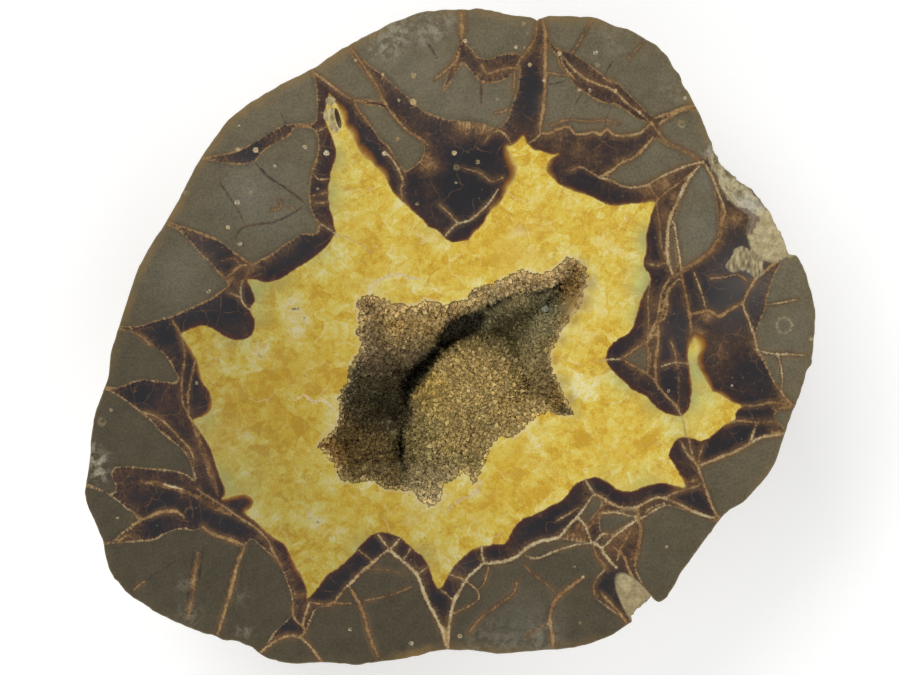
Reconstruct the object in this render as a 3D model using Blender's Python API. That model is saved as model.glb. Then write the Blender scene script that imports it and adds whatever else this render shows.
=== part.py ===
"""Half of a septarian nodule, sawn through its crack-filled middle and polished.

The nodule is one lumpy mudstone concretion, its cracks healed with minerals, lying on the domed
natural back with the sawn face level and uppermost.  The hollow in the middle of the face is
lined with one crust of small crystals.

Frame: metres, +Z up, the origin on the surface that the nodule lies on, under the middle of its
outline.  Lengths below are in millimetres, and in_metres() turns them into metres.
"""

import math
import random

import bmesh
import bpy
from mathutils import Vector
from mathutils.geometry import delaunay_2d_cdt

# Driving sizes of the nodule.
FACE_LEVEL = 72.0
FLAT_SPOT_LENGTH = 50.0
FLAT_SPOT_WIDTH = 44.0
FLAT_SPOT_SIDES = 28
MEAN_REACH = 87.0
OVAL_FROM_SLOPE = 20.0

# How fine the facets are, and how far loose points keep from the lines drawn through them.
BACK_FACET = 4.7
BACK_JITTER = 0.56
RIM_FACET = 2.6
RIM_CLEARANCE = 5.0
FLAT_SPOT_CLEARANCE = 1.9
FACE_FACET = 14.0
FACE_CLEARANCE = 7.0
CORNER_STEP = 1.15
RING_CLEARANCE = 0.75
SAME_PLACE = 0.001

# The back's blocks: rows of (how deep under the face, how many), and the seams between them.
BACK_BLOCK_ROWS = ((31.0, 12), (52.0, 9), (66.0, 6))
BLOCK_SHIFT = 0.25
BLOCK_RISE = 4.0
RIM_BLOCK_DEPTH = 9.0
SEAM_DEPTH = 4.4
SEAM_WIDTH = 5.0
SEAM_STARTS_BELOW_FACE = 9.0
DENT_DEPTH = 1.3
DENT_SPACING = 22.0
FLAT_SPOT_BLEND = 0.16

# Driving sizes of the hollow and its crust.
HOLLOW_DEPTH = 36.0
WALL_STEEPNESS = 2.5
WALL_RING = 1.3
FLOOR_CLEARANCE = 2.7
CRYSTAL_SPACING = 2.85
CRYSTAL_JITTER = 0.55
CRYSTAL_HEIGHTS = (0.8, 1.9)
CRUST_THICKNESS = 1.2
CRUST_GAP = 0.36
CRUST_BELOW_FACE = 0.25
STEEPEST_COUNTED = 4.2
CUTTER_SIDE = 240.0

# Plain colours and finishes.
STONE_COLOUR = (0.16, 0.13, 0.075)
STONE_ROUGHNESS = 0.35
STONE_SHARP_FROM = 28.0
CRYSTAL_COLOUR = (0.30, 0.23, 0.12)
CRYSTAL_ROUGHNESS = 0.45
CRYSTAL_SHARP_FROM = 5.0

# The sawn outline, read off the real face counter-clockwise from its right end.
RIM = (
    (95.2, 3), (95.1, 7), (94.5, 11), (93.1, 15.5), (91.5, 19.5), (90, 22), (88.5, 22.5), (87, 26.5),
    (85, 30.5), (81, 37), (78.5, 39.5), (75, 42), (70.5, 46), (69.1, 48), (68, 51.5), (66, 56),
    (64.6, 59.4), (62.3, 63.8), (60.6, 65.8), (60.3, 67.5), (57.8, 71), (56.5, 73.5), (54, 76),
    (51, 77.6), (46.5, 80.4), (45, 80.2), (39.5, 82.5), (37, 83.3), (33, 83.5), (28.5, 83.8),
    (23.2, 83.2), (22.9, 82.2), (22, 82.9), (18, 83.6), (15, 84), (11, 85.2), (7.5, 85.5),
    (5.2, 85.1), (3.5, 85.4), (-1, 85.3), (-5, 84.8), (-8.5, 84.3), (-12.5, 82.9), (-18.5, 80.2),
    (-21, 78.7), (-25, 77), (-31, 73), (-34.5, 70.5), (-36, 69.6), (-44, 65.8), (-52, 60.8),
    (-56, 58), (-59, 55), (-62, 51), (-65.5, 45.5), (-68.5, 39.5), (-71, 35), (-75, 28), (-80, 20.5),
    (-81.8, 16.5), (-85.3, 5), (-87, 0), (-88.2, -4), (-89, -11.5), (-91, -16.5), (-92.5, -20.5),
    (-93.3, -25), (-93.8, -35), (-95, -40), (-94.4, -43), (-93, -47), (-90.3, -52.5), (-90, -54),
    (-89, -59.5), (-88, -62), (-85, -65.5), (-82.5, -68), (-79.3, -69.8), (-75, -72.4), (-70, -74.8),
    (-65, -76.7), (-61, -77.9), (-59, -78.9), (-55, -79.3), (-51, -80.8), (-50, -82.2), (-47, -83.7),
    (-43.5, -84.9), (-38.5, -85.2), (-36, -84.6), (-28, -84.8), (-24.5, -85.7), (-18.5, -84.3),
    (-11, -83.9), (-5, -82), (-1, -81.4), (6.5, -81.5), (12, -82.6), (20, -82), (27, -81.4),
    (31, -81), (36, -80), (42.3, -77.8), (45, -75.8), (47.3, -74.2), (49, -72.3), (51.8, -67.6),
    (54.5, -69.2), (56.5, -67.7), (57.5, -66.5), (60, -61.5), (63, -57.5), (67.3, -51.5),
    (68.5, -50.7), (70, -47.7), (73, -45), (77.5, -42.3), (81, -38), (84.3, -34), (86.3, -28),
    (88.3, -22.5), (89.8, -18), (91.2, -15), (92.8, -8.7), (94, -7.5), (94.7, -4),
)

# Where the filled cracks reach the outline: the seams of the back start there.
RIM_SEAMS = (
    (89, 22), (69, 48), (64, 60), (23, 83), (4, 85), (-26, 76), (-36, 70), (-63, 47), (-74, 30),
    (-86, 3), (-89, -13), (-94, -38), (-90, -54), (-61, -78), (-50, -82), (-33, -84), (-0.5, -81),
    (27, -81), (46, -75), (53, -68), (70, -48), (88, -25),
)

# The lip of the hollow, counter-clockwise from its lower right.
LIP = (
    (29.7, -15), (28.5, -12), (27, -9), (26, -7), (26.2, -4.5), (27.5, -1.5), (29, 1.5), (31, 4),
    (33.5, 7.5), (34.7, 10), (35.7, 14), (35.6, 17.5), (34, 19.6), (31, 21), (28.6, 18.8),
    (25.5, 17), (22.5, 16.4), (19, 17.4), (16.5, 16.6), (14, 15.2), (11, 13.8), (8.5, 13),
    (5.6, 12.2), (4.8, 9.6), (1.5, 9.2), (-1.5, 8.5), (-5, 9.5), (-8, 8.5), (-11, 8.3),
    (-14, 8.7), (-17, 10), (-20, 11.5), (-22.5, 10.5), (-24.2, 8.5), (-23.5, 5), (-24, 1),
    (-23, -2), (-24.2, -4.6), (-26, -7.5), (-26.4, -11), (-28, -14), (-29.3, -16.2), (-28.2, -19),
    (-29, -23), (-31.5, -25.5), (-34.6, -28.8), (-32, -31), (-29.7, -34), (-28, -37), (-25, -38),
    (-22, -37.6), (-19.5, -37.4), (-17, -39.6), (-14, -39.8), (-11, -39.9), (-9, -40.3),
    (-7.8, -43), (-5, -43.9), (-2.8, -43), (-1.8, -39), (1, -37), (3.5, -35), (6.4, -38.5),
    (8, -35), (9.5, -31.5), (11, -28), (13, -25.9), (16, -26), (18.5, -25), (20.5, -22.5),
    (23.5, -20.3), (27, -20), (30, -20.6), (32.6, -20.4), (31.5, -18.5),
)

# The lobes of the hollow's floor: centre, half-lengths, turn in degrees, how deep the top lies,
# how far its edge falls below that, and how sharply it falls.
FLOOR_LOBES = (
    # The big mound that fills the lower right.
    dict(centre=(7, -26), half=(18.5, 25), turn=-8, top=6.2, fall=14.0, power=3.5),
    # The bright lobe at the upper left.
    dict(centre=(-15, 3), half=(11, 9), turn=0, top=8.5, fall=10.0, power=3),
    # The coarse crystals of the lower left corner.
    dict(centre=(-26, -32), half=(13, 10), turn=35, top=7.0, fall=12.0, power=3),
    # The dark floor between those two.
    dict(centre=(-19, -16), half=(11, 11), turn=0, top=21.0, fall=8.0, power=3),
    # The deep lobe under the upper right lip.
    dict(centre=(18, 1), half=(14, 12), turn=20, top=24.0, fall=7.0, power=3),
    # The ledge of blocky crystals along the upper right lip.
    dict(centre=(19, 16), half=(17.5, 6.2), turn=17, top=3.4, fall=9.0, power=4),
    # The tip where the crystals come up to the face.
    dict(centre=(-5, -41.5), half=(6, 6.5), turn=0, top=2.8, fall=8.0, power=3),
)

# Scoops where the rim is broken or the fill is open: centre, half-lengths, turn in degrees.
BROKEN_PLACES = {
    "chip_upper": dict(centre=(78.3, 40.2, 7.5), half=(15.2, 9.8, 11.0), turn=132),
    "chip_lower": dict(centre=(84.6, 26.9, 8.7), half=(12.8, 12.3, 11.0), turn=113),
    "spall": dict(centre=(50.5, -71.5, 5.0), half=(15.0, 5.0, 8.5), turn=124),
    "open_crack": dict(centre=(-29.1, 57.0, 0.8), half=(2.9, 0.7, 3.6), turn=104),
}
SCOOP_FINENESS = 3


def in_metres(x, y, z):
    """Turn a place in millimetres into a vector in metres."""
    return Vector((x, y, z)) * 0.001


def middle_of(outline):
    """Give the middle of an outline's box."""
    xs = [x for x, _ in outline]
    ys = [y for _, y in outline]
    return (min(xs) + max(xs)) / 2, (min(ys) + max(ys)) / 2


def smooth(value, start, end):
    """Rise smoothly from 0 at start to 1 at end."""
    t = min(max((value - start) / (end - start), 0.0), 1.0)
    return t * t * (3 - 2 * t)


def inside(point, outline):
    """Tell whether a point lies inside a closed outline."""
    x, y = point
    crossings = 0
    for (ax, ay), (bx, by) in zip(outline, outline[1:] + outline[:1]):
        if (ay > y) != (by > y) and x < ax + (y - ay) / (by - ay) * (bx - ax):
            crossings += 1
    return crossings % 2 == 1


def distance_to(point, outline):
    """Measure from a point to the nearest place on a closed outline."""
    place = Vector(point)
    nearest = math.inf
    for a, b in zip(outline, outline[1:] + outline[:1]):
        start = Vector(a)
        run = Vector(b) - start
        t = min(max((place - start).dot(run) / run.length_squared, 0.0), 1.0)
        nearest = min(nearest, (start + run * t - place).length)
    return nearest


def reach(angle, outline):
    """Measure from the axis to the outline in one direction."""
    dx, dy = math.cos(angle), math.sin(angle)
    for (ax, ay), (bx, by) in zip(outline, outline[1:] + outline[:1]):
        across = dx * (by - ay) - dy * (bx - ax)
        if abs(across) < 1e-9:
            continue
        out = (ax * (by - ay) - ay * (bx - ax)) / across
        along = (ax * dy - ay * dx) / across
        if out > 0 and -1e-9 <= along <= 1 + 1e-9:
            return out
    return 0.0


def scattered(outline, spacing, clearance, jitter, seed):
    """Scatter points in staggered rows inside an outline, clear of its edge."""
    draw = random.Random(seed)
    xs = [x for x, _ in outline]
    ys = [y for _, y in outline]
    points = []
    row = 0
    y = min(ys)
    while y < max(ys):
        x = min(xs) + (row % 2) * spacing / 2
        while x < max(xs):
            point = (x + draw.uniform(-jitter, jitter), y + draw.uniform(-jitter, jitter))
            if inside(point, outline) and distance_to(point, outline) > clearance:
                points.append(point)
            x += spacing
        y += spacing * math.sqrt(3) / 2
        row += 1
    return points


def inset_ring(outline, inset):
    """Step each corner of an outline inwards, dropping those that come too near the edge."""
    ring = []
    for i, corner in enumerate(outline):
        before = Vector(corner) - Vector(outline[i - 1])
        after = Vector(outline[(i + 1) % len(outline)]) - Vector(corner)
        inward = Vector((-before.y, before.x)).normalized() + Vector((-after.y, after.x)).normalized()
        point = tuple(Vector(corner) + inward.normalized() * inset * CORNER_STEP)
        if inside(point, outline) and distance_to(point, outline) > inset * RING_CLEARANCE:
            ring.append(point)
    return ring


def triangulate(loops, extra_points):
    """Join loops and loose points into triangles; give the points and the triangles."""
    points = []
    edges = []
    for loop in loops:
        first = len(points)
        points += [Vector(p) for p in loop]
        edges += [(first + i, first + (i + 1) % len(loop)) for i in range(len(loop))]
    points += [Vector(p) for p in extra_points]
    spots, _, faces, _, _, _ = delaunay_2d_cdt(points, edges, [], 0, 1e-4)
    kept = []
    for face in faces:
        middle = sum((spots[i] for i in face), Vector((0.0, 0.0))) / 3
        if inside(tuple(middle), loops[0]):
            kept.append(tuple(face))
    return [tuple(p) for p in spots], kept


def lobe_depth(lobe, x, y):
    """Give how deep one lobe of the hollow's floor lies under a place."""
    turn = math.radians(lobe["turn"])
    dx = x - lobe["centre"][0]
    dy = y - lobe["centre"][1]
    along = (dx * math.cos(turn) + dy * math.sin(turn)) / lobe["half"][0]
    across = (dy * math.cos(turn) - dx * math.sin(turn)) / lobe["half"][1]
    return lobe["top"] + lobe["fall"] * math.hypot(along, across) ** lobe["power"]


def hollow_depth(x, y, lip):
    """Give the hollow's depth at a place: its steep wall, or the highest lobe of its floor."""
    wall = WALL_STEEPNESS * distance_to((x, y), lip)
    floor = min(lobe_depth(lobe, x, y) for lobe in FLOOR_LOBES)
    return min(wall, floor, HOLLOW_DEPTH)


def block_centres(rim):
    """Place the centres of the blocks that the back's seams part."""
    draw = random.Random(11)
    angles = sorted(math.atan2(y, x) for x, y in RIM_SEAMS)
    centres = []
    for a, b in zip(angles, angles[1:] + [angles[0] + 2 * math.pi]):
        centres.append(back_point((a + b) / 2, RIM_BLOCK_DEPTH, rim))
    for depth, count in BACK_BLOCK_ROWS:
        for i in range(count):
            angle = 2 * math.pi * (i + draw.uniform(-BLOCK_SHIFT, BLOCK_SHIFT)) / count + depth
            centres.append(back_point(angle, depth + draw.uniform(-BLOCK_RISE, BLOCK_RISE), rim))
    return centres


def back_steepness():
    """Give the dome's full depth, were its flat spot not there, and the spot's place on it."""
    share = (FLAT_SPOT_LENGTH + FLAT_SPOT_WIDTH) / 2 / (2 * MEAN_REACH)
    slope = math.acos(share)
    return FACE_LEVEL / math.sin(slope), 1 - slope / (math.pi / 2)


def back_point(angle, depth, rim):
    """Give a place on the smooth dome, in a direction and at a depth under the face."""
    full_depth, _ = back_steepness()
    wide = reach(angle, rim) * math.sqrt(1 - (depth / full_depth) ** 2)
    return Vector((wide * math.cos(angle), wide * math.sin(angle), -depth))


def dent_at(place):
    """Give how far the back's soft hollows dip at a place."""
    x, y, z = place * (2 * math.pi / DENT_SPACING)
    return DENT_DEPTH * (1 + math.sin(x + 2 * math.sin(y / 2)) * math.cos(z + y / 2)) / 2


def dome_point(x, y, rim, centres):
    """Carry a place of the outline's disc onto the lumpy back."""
    full_depth, flat_share = back_steepness()
    angle = math.atan2(y, x)
    share = min(math.hypot(x, y) / reach(angle, rim), 1.0)
    slope = (1 - share) * math.pi / 2
    # Towards the flat spot the outline's corners fade into an oval.
    oval = 1 / math.hypot(math.cos(angle) / (FLAT_SPOT_LENGTH / 2), math.sin(angle) / (FLAT_SPOT_WIDTH / 2))
    flat_reach = oval / math.cos((1 - flat_share) * math.pi / 2)
    fade = smooth(slope, math.radians(OVAL_FROM_SLOPE), (1 - flat_share) * math.pi / 2)
    wide = (reach(angle, rim) * (1 - fade) + flat_reach * fade) * math.cos(slope)
    place = Vector((wide * math.cos(angle), wide * math.sin(angle), -full_depth * math.sin(slope)))
    near = sorted((place - centre).length for centre in centres)[:2]
    seam = SEAM_DEPTH * math.exp(-(((near[1] - near[0]) / SEAM_WIDTH) ** 2))
    amount = (seam + dent_at(place)) * smooth(-place.z, 0.0, SEAM_STARTS_BELOW_FACE)
    amount *= smooth(share, flat_share, flat_share + FLAT_SPOT_BLEND)
    steepness = (MEAN_REACH / full_depth) ** 2
    outward = Vector((place.x, place.y, place.z * steepness)).normalized()
    return place - outward * amount


def new_object(name, mesh_in_progress):
    """Turn a bmesh into an object of the scene."""
    bmesh.ops.recalc_face_normals(mesh_in_progress, faces=mesh_in_progress.faces)
    mesh = bpy.data.meshes.new(name)
    mesh_in_progress.to_mesh(mesh)
    mesh_in_progress.free()
    thing = bpy.data.objects.new(name, mesh)
    bpy.context.scene.collection.objects.link(thing)
    return thing


def finish(thing, colour, roughness, sharp_from):
    """Give an object its material and its shading."""
    material = bpy.data.materials.new(thing.name)
    material.use_nodes = True
    shader = material.node_tree.nodes["Principled BSDF"]
    shader.inputs["Base Color"].default_value = (*colour, 1)
    shader.inputs["Roughness"].default_value = roughness
    shader.inputs["Metallic"].default_value = 0
    thing.data.materials.append(material)
    thing.data.shade_smooth()
    thing.data.set_sharp_from_angle(angle=math.radians(sharp_from))


def add_scoop(name, centre, half, turn):
    """Make the cutter for one broken place, set at its height on the face."""
    bpy.ops.mesh.primitive_ico_sphere_add(
        subdivisions=SCOOP_FINENESS,
        radius=1,
        location=in_metres(centre[0], centre[1], FACE_LEVEL + centre[2]),
        rotation=(0, 0, math.radians(turn)),
    )
    scoop = bpy.context.object
    scoop.name = name
    scoop.scale = in_metres(*half)
    scoop.hide_render = True
    scoop.display_type = "WIRE"
    return scoop


def add_boolean(thing, other, operation):
    """Cut one object with another, or keep what they share."""
    cut = thing.modifiers.new(other.name, "BOOLEAN")
    cut.operation = operation
    cut.solver = "EXACT"
    cut.object = other


def vertex_list(points, lip):
    """Give each point of the top its place on the face or down in the hollow."""
    places = []
    for x, y in points:
        deep = 0.0
        if inside((x, y), lip) and distance_to((x, y), lip) > SAME_PLACE:
            deep = hollow_depth(x, y, lip)
        places.append(Vector((x, y, -deep)))
    return places


def build_nodule(rim, lip, top_points, top_faces):
    """Model the stone: the sawn face with its hollow, and the domed back."""
    flat_share = back_steepness()[1]
    flat_loop = []
    for i in range(FLAT_SPOT_SIDES):
        angle = 2 * math.pi * i / FLAT_SPOT_SIDES
        wide = reach(angle, rim) * flat_share
        flat_loop.append((wide * math.cos(angle), wide * math.sin(angle)))
    fill = [p for p in scattered(rim, BACK_FACET, RIM_CLEARANCE, BACK_JITTER, seed=5)
            if not inside(p, flat_loop) and distance_to(p, flat_loop) > FLAT_SPOT_CLEARANCE]
    back_points, back_faces = triangulate([rim, flat_loop], inset_ring(rim, RIM_FACET) + fill)
    centres = block_centres(rim)
    stone = bmesh.new()
    corners = [stone.verts.new(in_metres(p.x, p.y, p.z + FACE_LEVEL)) for p in vertex_list(top_points, lip)]
    for face in top_faces:
        stone.faces.new([corners[i] for i in face])
    corners = []
    for x, y in back_points:
        place = dome_point(x, y, rim, centres)
        if inside((x, y), flat_loop) or distance_to((x, y), flat_loop) < SAME_PLACE:
            place.z = -FACE_LEVEL
        corners.append(stone.verts.new(in_metres(place.x, place.y, place.z + FACE_LEVEL)))
    for face in back_faces:
        stone.faces.new([corners[i] for i in reversed(face)])
    bmesh.ops.remove_doubles(stone, verts=stone.verts, dist=1e-6)
    nodule = new_object("nodule", stone)
    for name, place in BROKEN_PLACES.items():
        scoop = add_scoop(name, place["centre"], place["half"], place["turn"])
        add_boolean(nodule, scoop, "DIFFERENCE")
    finish(nodule, STONE_COLOUR, STONE_ROUGHNESS, STONE_SHARP_FROM)
    return nodule


def steepness_at_corners(places, faces):
    """Give, for each corner, how much longer than wide the steepest facet round it is."""
    steep = [1.0] * len(places)
    for face in faces:
        a, b, c = (places[i] for i in face)
        normal = (b - a).cross(c - a).normalized()
        for i in face:
            steep[i] = max(steep[i], min(1 / max(abs(normal.z), 1e-6), STEEPEST_COUNTED))
    return steep


def crystal_tip(a, b, c, height):
    """Raise a facet's middle into a crystal's tip that stays over its own facet."""
    middle = (a + b + c) / 3
    normal = (b - a).cross(c - a).normalized()
    if normal.z < 0:
        normal.negate()
    sides = [((q - p).xy).length for p, q in ((a, b), (b, c), (c, a))]
    area = abs((b - a).xy.cross((c - a).xy)) / 2
    room = 2 * area / sum(sides)
    sideways = Vector((normal.x, normal.y, 0))
    if sideways.length > 1e-6:
        middle += sideways.normalized() * min(height * sideways.length, room / 2)
    middle.z += height * normal.z
    return middle


def build_crust(lip, top_points, top_faces):
    """Model the crust: a layer on the hollow's walls whose free side stands up in crystals."""
    places = vertex_list(top_points, lip)
    faces = [face for face in top_faces
             if inside(tuple((sum((places[i] for i in face), Vector()) / 3).xy), lip)]
    steep = steepness_at_corners(places, faces)
    used = sorted({i for face in faces for i in face})
    crust = bmesh.new()
    under = {}
    over = {}
    for i in used:
        low = places[i] + Vector((0, 0, CRUST_GAP * steep[i]))
        high = low + Vector((0, 0, CRUST_THICKNESS * steep[i]))
        under[i] = crust.verts.new(in_metres(low.x, low.y, low.z + FACE_LEVEL))
        over[i] = crust.verts.new(in_metres(high.x, high.y, high.z + FACE_LEVEL))
    draw = random.Random(23)
    for face in faces:
        crust.faces.new([under[i] for i in reversed(face)])
        corner = [over[i] for i in face]
        height = draw.uniform(*CRYSTAL_HEIGHTS) * 0.001
        tip = crust.verts.new(crystal_tip(*(v.co for v in corner), height))
        for p, q in zip(corner, corner[1:] + corner[:1]):
            crust.faces.new((p, q, tip))
    edge_uses = {}
    for face in faces:
        for p, q in zip(face, face[1:] + face[:1]):
            edge_uses.setdefault(frozenset((p, q)), []).append((p, q))
    for uses in edge_uses.values():
        if len(uses) == 1:
            p, q = uses[0]
            crust.faces.new((under[p], under[q], over[q], over[p]))
    thing = new_object("crystal_crust", crust)
    top = FACE_LEVEL - CRUST_BELOW_FACE
    bpy.ops.mesh.primitive_cube_add(size=CUTTER_SIDE * 0.001, location=in_metres(0, 0, top - CUTTER_SIDE / 2))
    below_face = bpy.context.object
    below_face.name = "below_face"
    below_face.hide_render = True
    below_face.display_type = "WIRE"
    add_boolean(thing, below_face, "INTERSECT")
    finish(thing, CRYSTAL_COLOUR, CRYSTAL_ROUGHNESS, CRYSTAL_SHARP_FROM)
    return thing


def main():
    for thing in list(bpy.data.objects):
        bpy.data.objects.remove(thing, do_unlink=True)
    middle_x, middle_y = middle_of(RIM)
    rim = [(x - middle_x, y - middle_y) for x, y in RIM]
    lip = [(x - middle_x, y - middle_y) for x, y in LIP]
    wall_ring = inset_ring(lip, WALL_RING)
    hollow_fill = scattered(lip, CRYSTAL_SPACING, FLOOR_CLEARANCE, CRYSTAL_JITTER, seed=3)
    face_fill = [p for p in scattered(rim, FACE_FACET, FACE_CLEARANCE, 0.0, seed=1)
                 if not inside(p, lip) and distance_to(p, lip) > FACE_CLEARANCE]
    top_points, top_faces = triangulate([rim, lip], wall_ring + hollow_fill + face_fill)
    build_nodule(rim, lip, top_points, top_faces)
    build_crust(lip, top_points, top_faces)


main()
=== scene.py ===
import math

import bpy
import numpy as np
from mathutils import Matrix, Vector, noise
from mathutils.bvhtree import BVHTree
from mathutils.geometry import delaunay_2d_cdt
from mathutils.kdtree import KDTree


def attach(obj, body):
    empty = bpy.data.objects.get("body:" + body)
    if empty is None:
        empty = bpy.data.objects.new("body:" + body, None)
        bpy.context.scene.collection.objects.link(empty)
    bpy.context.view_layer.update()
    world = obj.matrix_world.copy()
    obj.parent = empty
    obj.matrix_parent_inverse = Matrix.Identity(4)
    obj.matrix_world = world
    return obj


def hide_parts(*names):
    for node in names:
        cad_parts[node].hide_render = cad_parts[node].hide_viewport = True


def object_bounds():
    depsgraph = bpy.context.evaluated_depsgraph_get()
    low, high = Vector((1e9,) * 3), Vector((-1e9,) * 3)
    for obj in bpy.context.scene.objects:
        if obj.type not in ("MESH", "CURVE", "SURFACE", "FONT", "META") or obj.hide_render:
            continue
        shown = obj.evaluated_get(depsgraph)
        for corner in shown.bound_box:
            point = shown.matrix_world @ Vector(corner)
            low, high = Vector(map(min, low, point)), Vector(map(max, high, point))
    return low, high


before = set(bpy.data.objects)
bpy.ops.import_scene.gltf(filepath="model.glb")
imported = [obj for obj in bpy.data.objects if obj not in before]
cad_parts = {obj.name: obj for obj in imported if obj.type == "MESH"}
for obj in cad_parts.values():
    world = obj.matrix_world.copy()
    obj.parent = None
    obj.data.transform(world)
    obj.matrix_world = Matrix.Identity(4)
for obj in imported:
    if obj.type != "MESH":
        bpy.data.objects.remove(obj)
cad_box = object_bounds()

# The camera hangs straight over the sawn face, which lies level.  One pixel of the 900 pixel wide
# picture spans 0.26 mm of the face.  The markings below are read in millimetres from the middle of
# the picture, +X right and +Y up; the middle of the stone's outline lies at OUTLINE_MIDDLE there.
MM = 0.001
PIXEL_ON_FACE = 0.26
PICTURE_WIDTH = 900
OUTLINE_MIDDLE = (0.1, -0.1)
PICTURE_MIDDLE = (0.13, -0.13)
CAMERA_HEIGHT = 650
LAMP_DISTANCE = 0.95
FACE_LEVEL = cad_box[1].z / MM

camera = bpy.data.objects.new("camera", bpy.data.cameras.new("camera"))
bpy.context.scene.collection.objects.link(camera)
camera.data.sensor_width = 36
camera.data.lens = 36 * CAMERA_HEIGHT / (PIXEL_ON_FACE * PICTURE_WIDTH)
camera.location = (
    (PICTURE_MIDDLE[0] - OUTLINE_MIDDLE[0]) * MM,
    (PICTURE_MIDDLE[1] - OUTLINE_MIDDLE[1]) * MM,
    (FACE_LEVEL + CAMERA_HEIGHT) * MM,
)
bpy.context.scene.camera = camera
bpy.context.scene.view_settings.view_transform = "Standard"


def paint(red, green, blue):
    """Turn a colour as the eye reads it, 0 to 255, into the light that it sends back."""
    return (*(((c / 255 + 0.055) / 1.055) ** 2.4 if c > 10 else c / 3294.6 for c in (red, green, blue)), 1)


def new_material(name):
    """Start a material; give it, its tree and its shader."""
    material = bpy.data.materials.new(name)
    material.use_nodes = True
    return material, material.node_tree, material.node_tree.nodes["Principled BSDF"]


def softbox(name, azimuth, elevation, power, side):
    """Hang one square lamp on a circle round the stone, facing it."""
    lamp = bpy.data.lights.new(name, "AREA")
    lamp.energy = power
    lamp.size = side
    hung = bpy.data.objects.new(name, lamp)
    away = Vector((
        math.cos(math.radians(elevation)) * math.cos(math.radians(azimuth)),
        math.cos(math.radians(elevation)) * math.sin(math.radians(azimuth)),
        math.sin(math.radians(elevation)),
    ))
    hung.location = away * LAMP_DISTANCE + Vector((0, 0, FACE_LEVEL * MM))
    hung.rotation_euler = away.to_track_quat("Z", "Y").to_euler()
    bpy.context.scene.collection.objects.link(hung)


softbox("lamp_upper_left", 125, 50, 4.6, 0.6)
softbox("lamp_right", 20, 45, 2.6, 0.7)
softbox("lamp_lower_left", 215, 42, 2.6, 0.7)
softbox("lamp_below", 290, 42, 2.4, 0.7)
world = bpy.data.worlds.new("room")
bpy.context.scene.world = world
world.use_nodes = True
world.node_tree.nodes["Background"].inputs["Color"].default_value = (0.95, 0.97, 1, 1)
world.node_tree.nodes["Background"].inputs["Strength"].default_value = 0.22

bpy.ops.mesh.primitive_plane_add(size=4, location=(0, 0, -0.0002))
floor = bpy.context.object
floor.name = "floor"
floor_material, _, floor_shader = new_material("pale_floor")
floor_shader.inputs["Base Color"].default_value = paint(252, 252, 251)
floor_shader.inputs["Roughness"].default_value = 0.9
floor_shader.inputs["Emission Color"].default_value = (1, 1, 1, 1)
floor_shader.inputs["Emission Strength"].default_value = 0.2
floor.data.materials.append(floor_material)


# The rind: the nodule's natural mudstone back, as it came out of the ground, with the rim's broken
# places.  It is weathered tan-grey stone, lumpy, parted by shallow seams where the filled cracks
# come out.  It is modelled from the solid stone: cut finer, rounded, then roughened like rock.
FACE_SLAB = 0.5
CUTS_PER_FACET = 3
ROUNDING_PASSES = 9
RIM_PASSES = 4
SPREAD_PASSES = 26
BREAK_REACH = 2.2
FACING_UP = 0.12
# Distances to the lines of the face count up to this far.
FIELD_REACH = 9.0


def take_up(piece):
    """Leave just this piece selected."""
    bpy.ops.object.select_all(action="DESELECT")
    piece.select_set(True)
    bpy.context.view_layer.objects.active = piece


def select_faces(piece, chosen):
    """Leave just these faces of a piece selected, and open it for editing."""
    bpy.ops.object.mode_set(mode="OBJECT")
    take_up(piece)
    bpy.context.tool_settings.mesh_select_mode = (False, False, True)
    mesh = piece.data
    mesh.vertices.foreach_set("select", np.zeros(len(mesh.vertices), bool))
    mesh.edges.foreach_set("select", np.zeros(len(mesh.edges), bool))
    mesh.polygons.foreach_set("select", np.array(chosen, bool))
    bpy.ops.object.mode_set(mode="EDIT")


def corners_of(mesh):
    """Give a mesh's corners in millimetres, one row each."""
    places = np.empty(len(mesh.vertices) * 3)
    mesh.vertices.foreach_get("co", places)
    return places.reshape(-1, 3) / MM


def put_corners(mesh, places):
    """Move a mesh's corners to places in millimetres."""
    mesh.vertices.foreach_set("co", (places * MM).astype(np.float32).ravel())
    mesh.update()


def facings_of(mesh):
    """Give the outward direction at each of a mesh's corners."""
    facings = np.empty(len(mesh.vertices) * 3, np.float32)
    mesh.vertex_normals.foreach_get("vector", facings)
    return facings.reshape(-1, 3).astype(float)


def keep_field(mesh, name, values):
    """Store one number for each corner, for the material to read."""
    field = mesh.attributes.new(name, "FLOAT", "POINT")
    field.data.foreach_set("value", np.asarray(values, np.float32))


def fade(values, start, end):
    """Rise smoothly from 0 at start to 1 at end."""
    t = np.clip((np.asarray(values, float) - start) / (end - start), 0, 1)
    return t * t * (3 - 2 * t)


def relief(places, size, seed, rough=0.0):
    """Give natural unevenness of one size, about -1 to 1, at each place."""
    shift = Vector((seed * 7.3, seed * 3.1, seed * 5.7))
    if rough:
        return np.array([noise.fractal(Vector(p) / size + shift, 1.0, 2.0, 3) for p in places])
    return np.array([noise.noise(Vector(p) / size + shift) for p in places])


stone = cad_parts["nodule"]
rind = bpy.data.objects.new("rind", stone.data.copy())
bpy.context.scene.collection.objects.link(rind)
rind.data.materials.clear()
take_up(rind)
bpy.ops.object.mode_set(mode="EDIT")
bpy.ops.mesh.select_all(action="SELECT")
bpy.ops.mesh.remove_doubles(threshold=1e-6)
bpy.ops.object.mode_set(mode="OBJECT")

# Tell the stone's faces apart: the sawn face, the hollow with the open slit, and the outside.
HOLLOW_REACH = 70
HOLLOW_BOTTOM = 40


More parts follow.
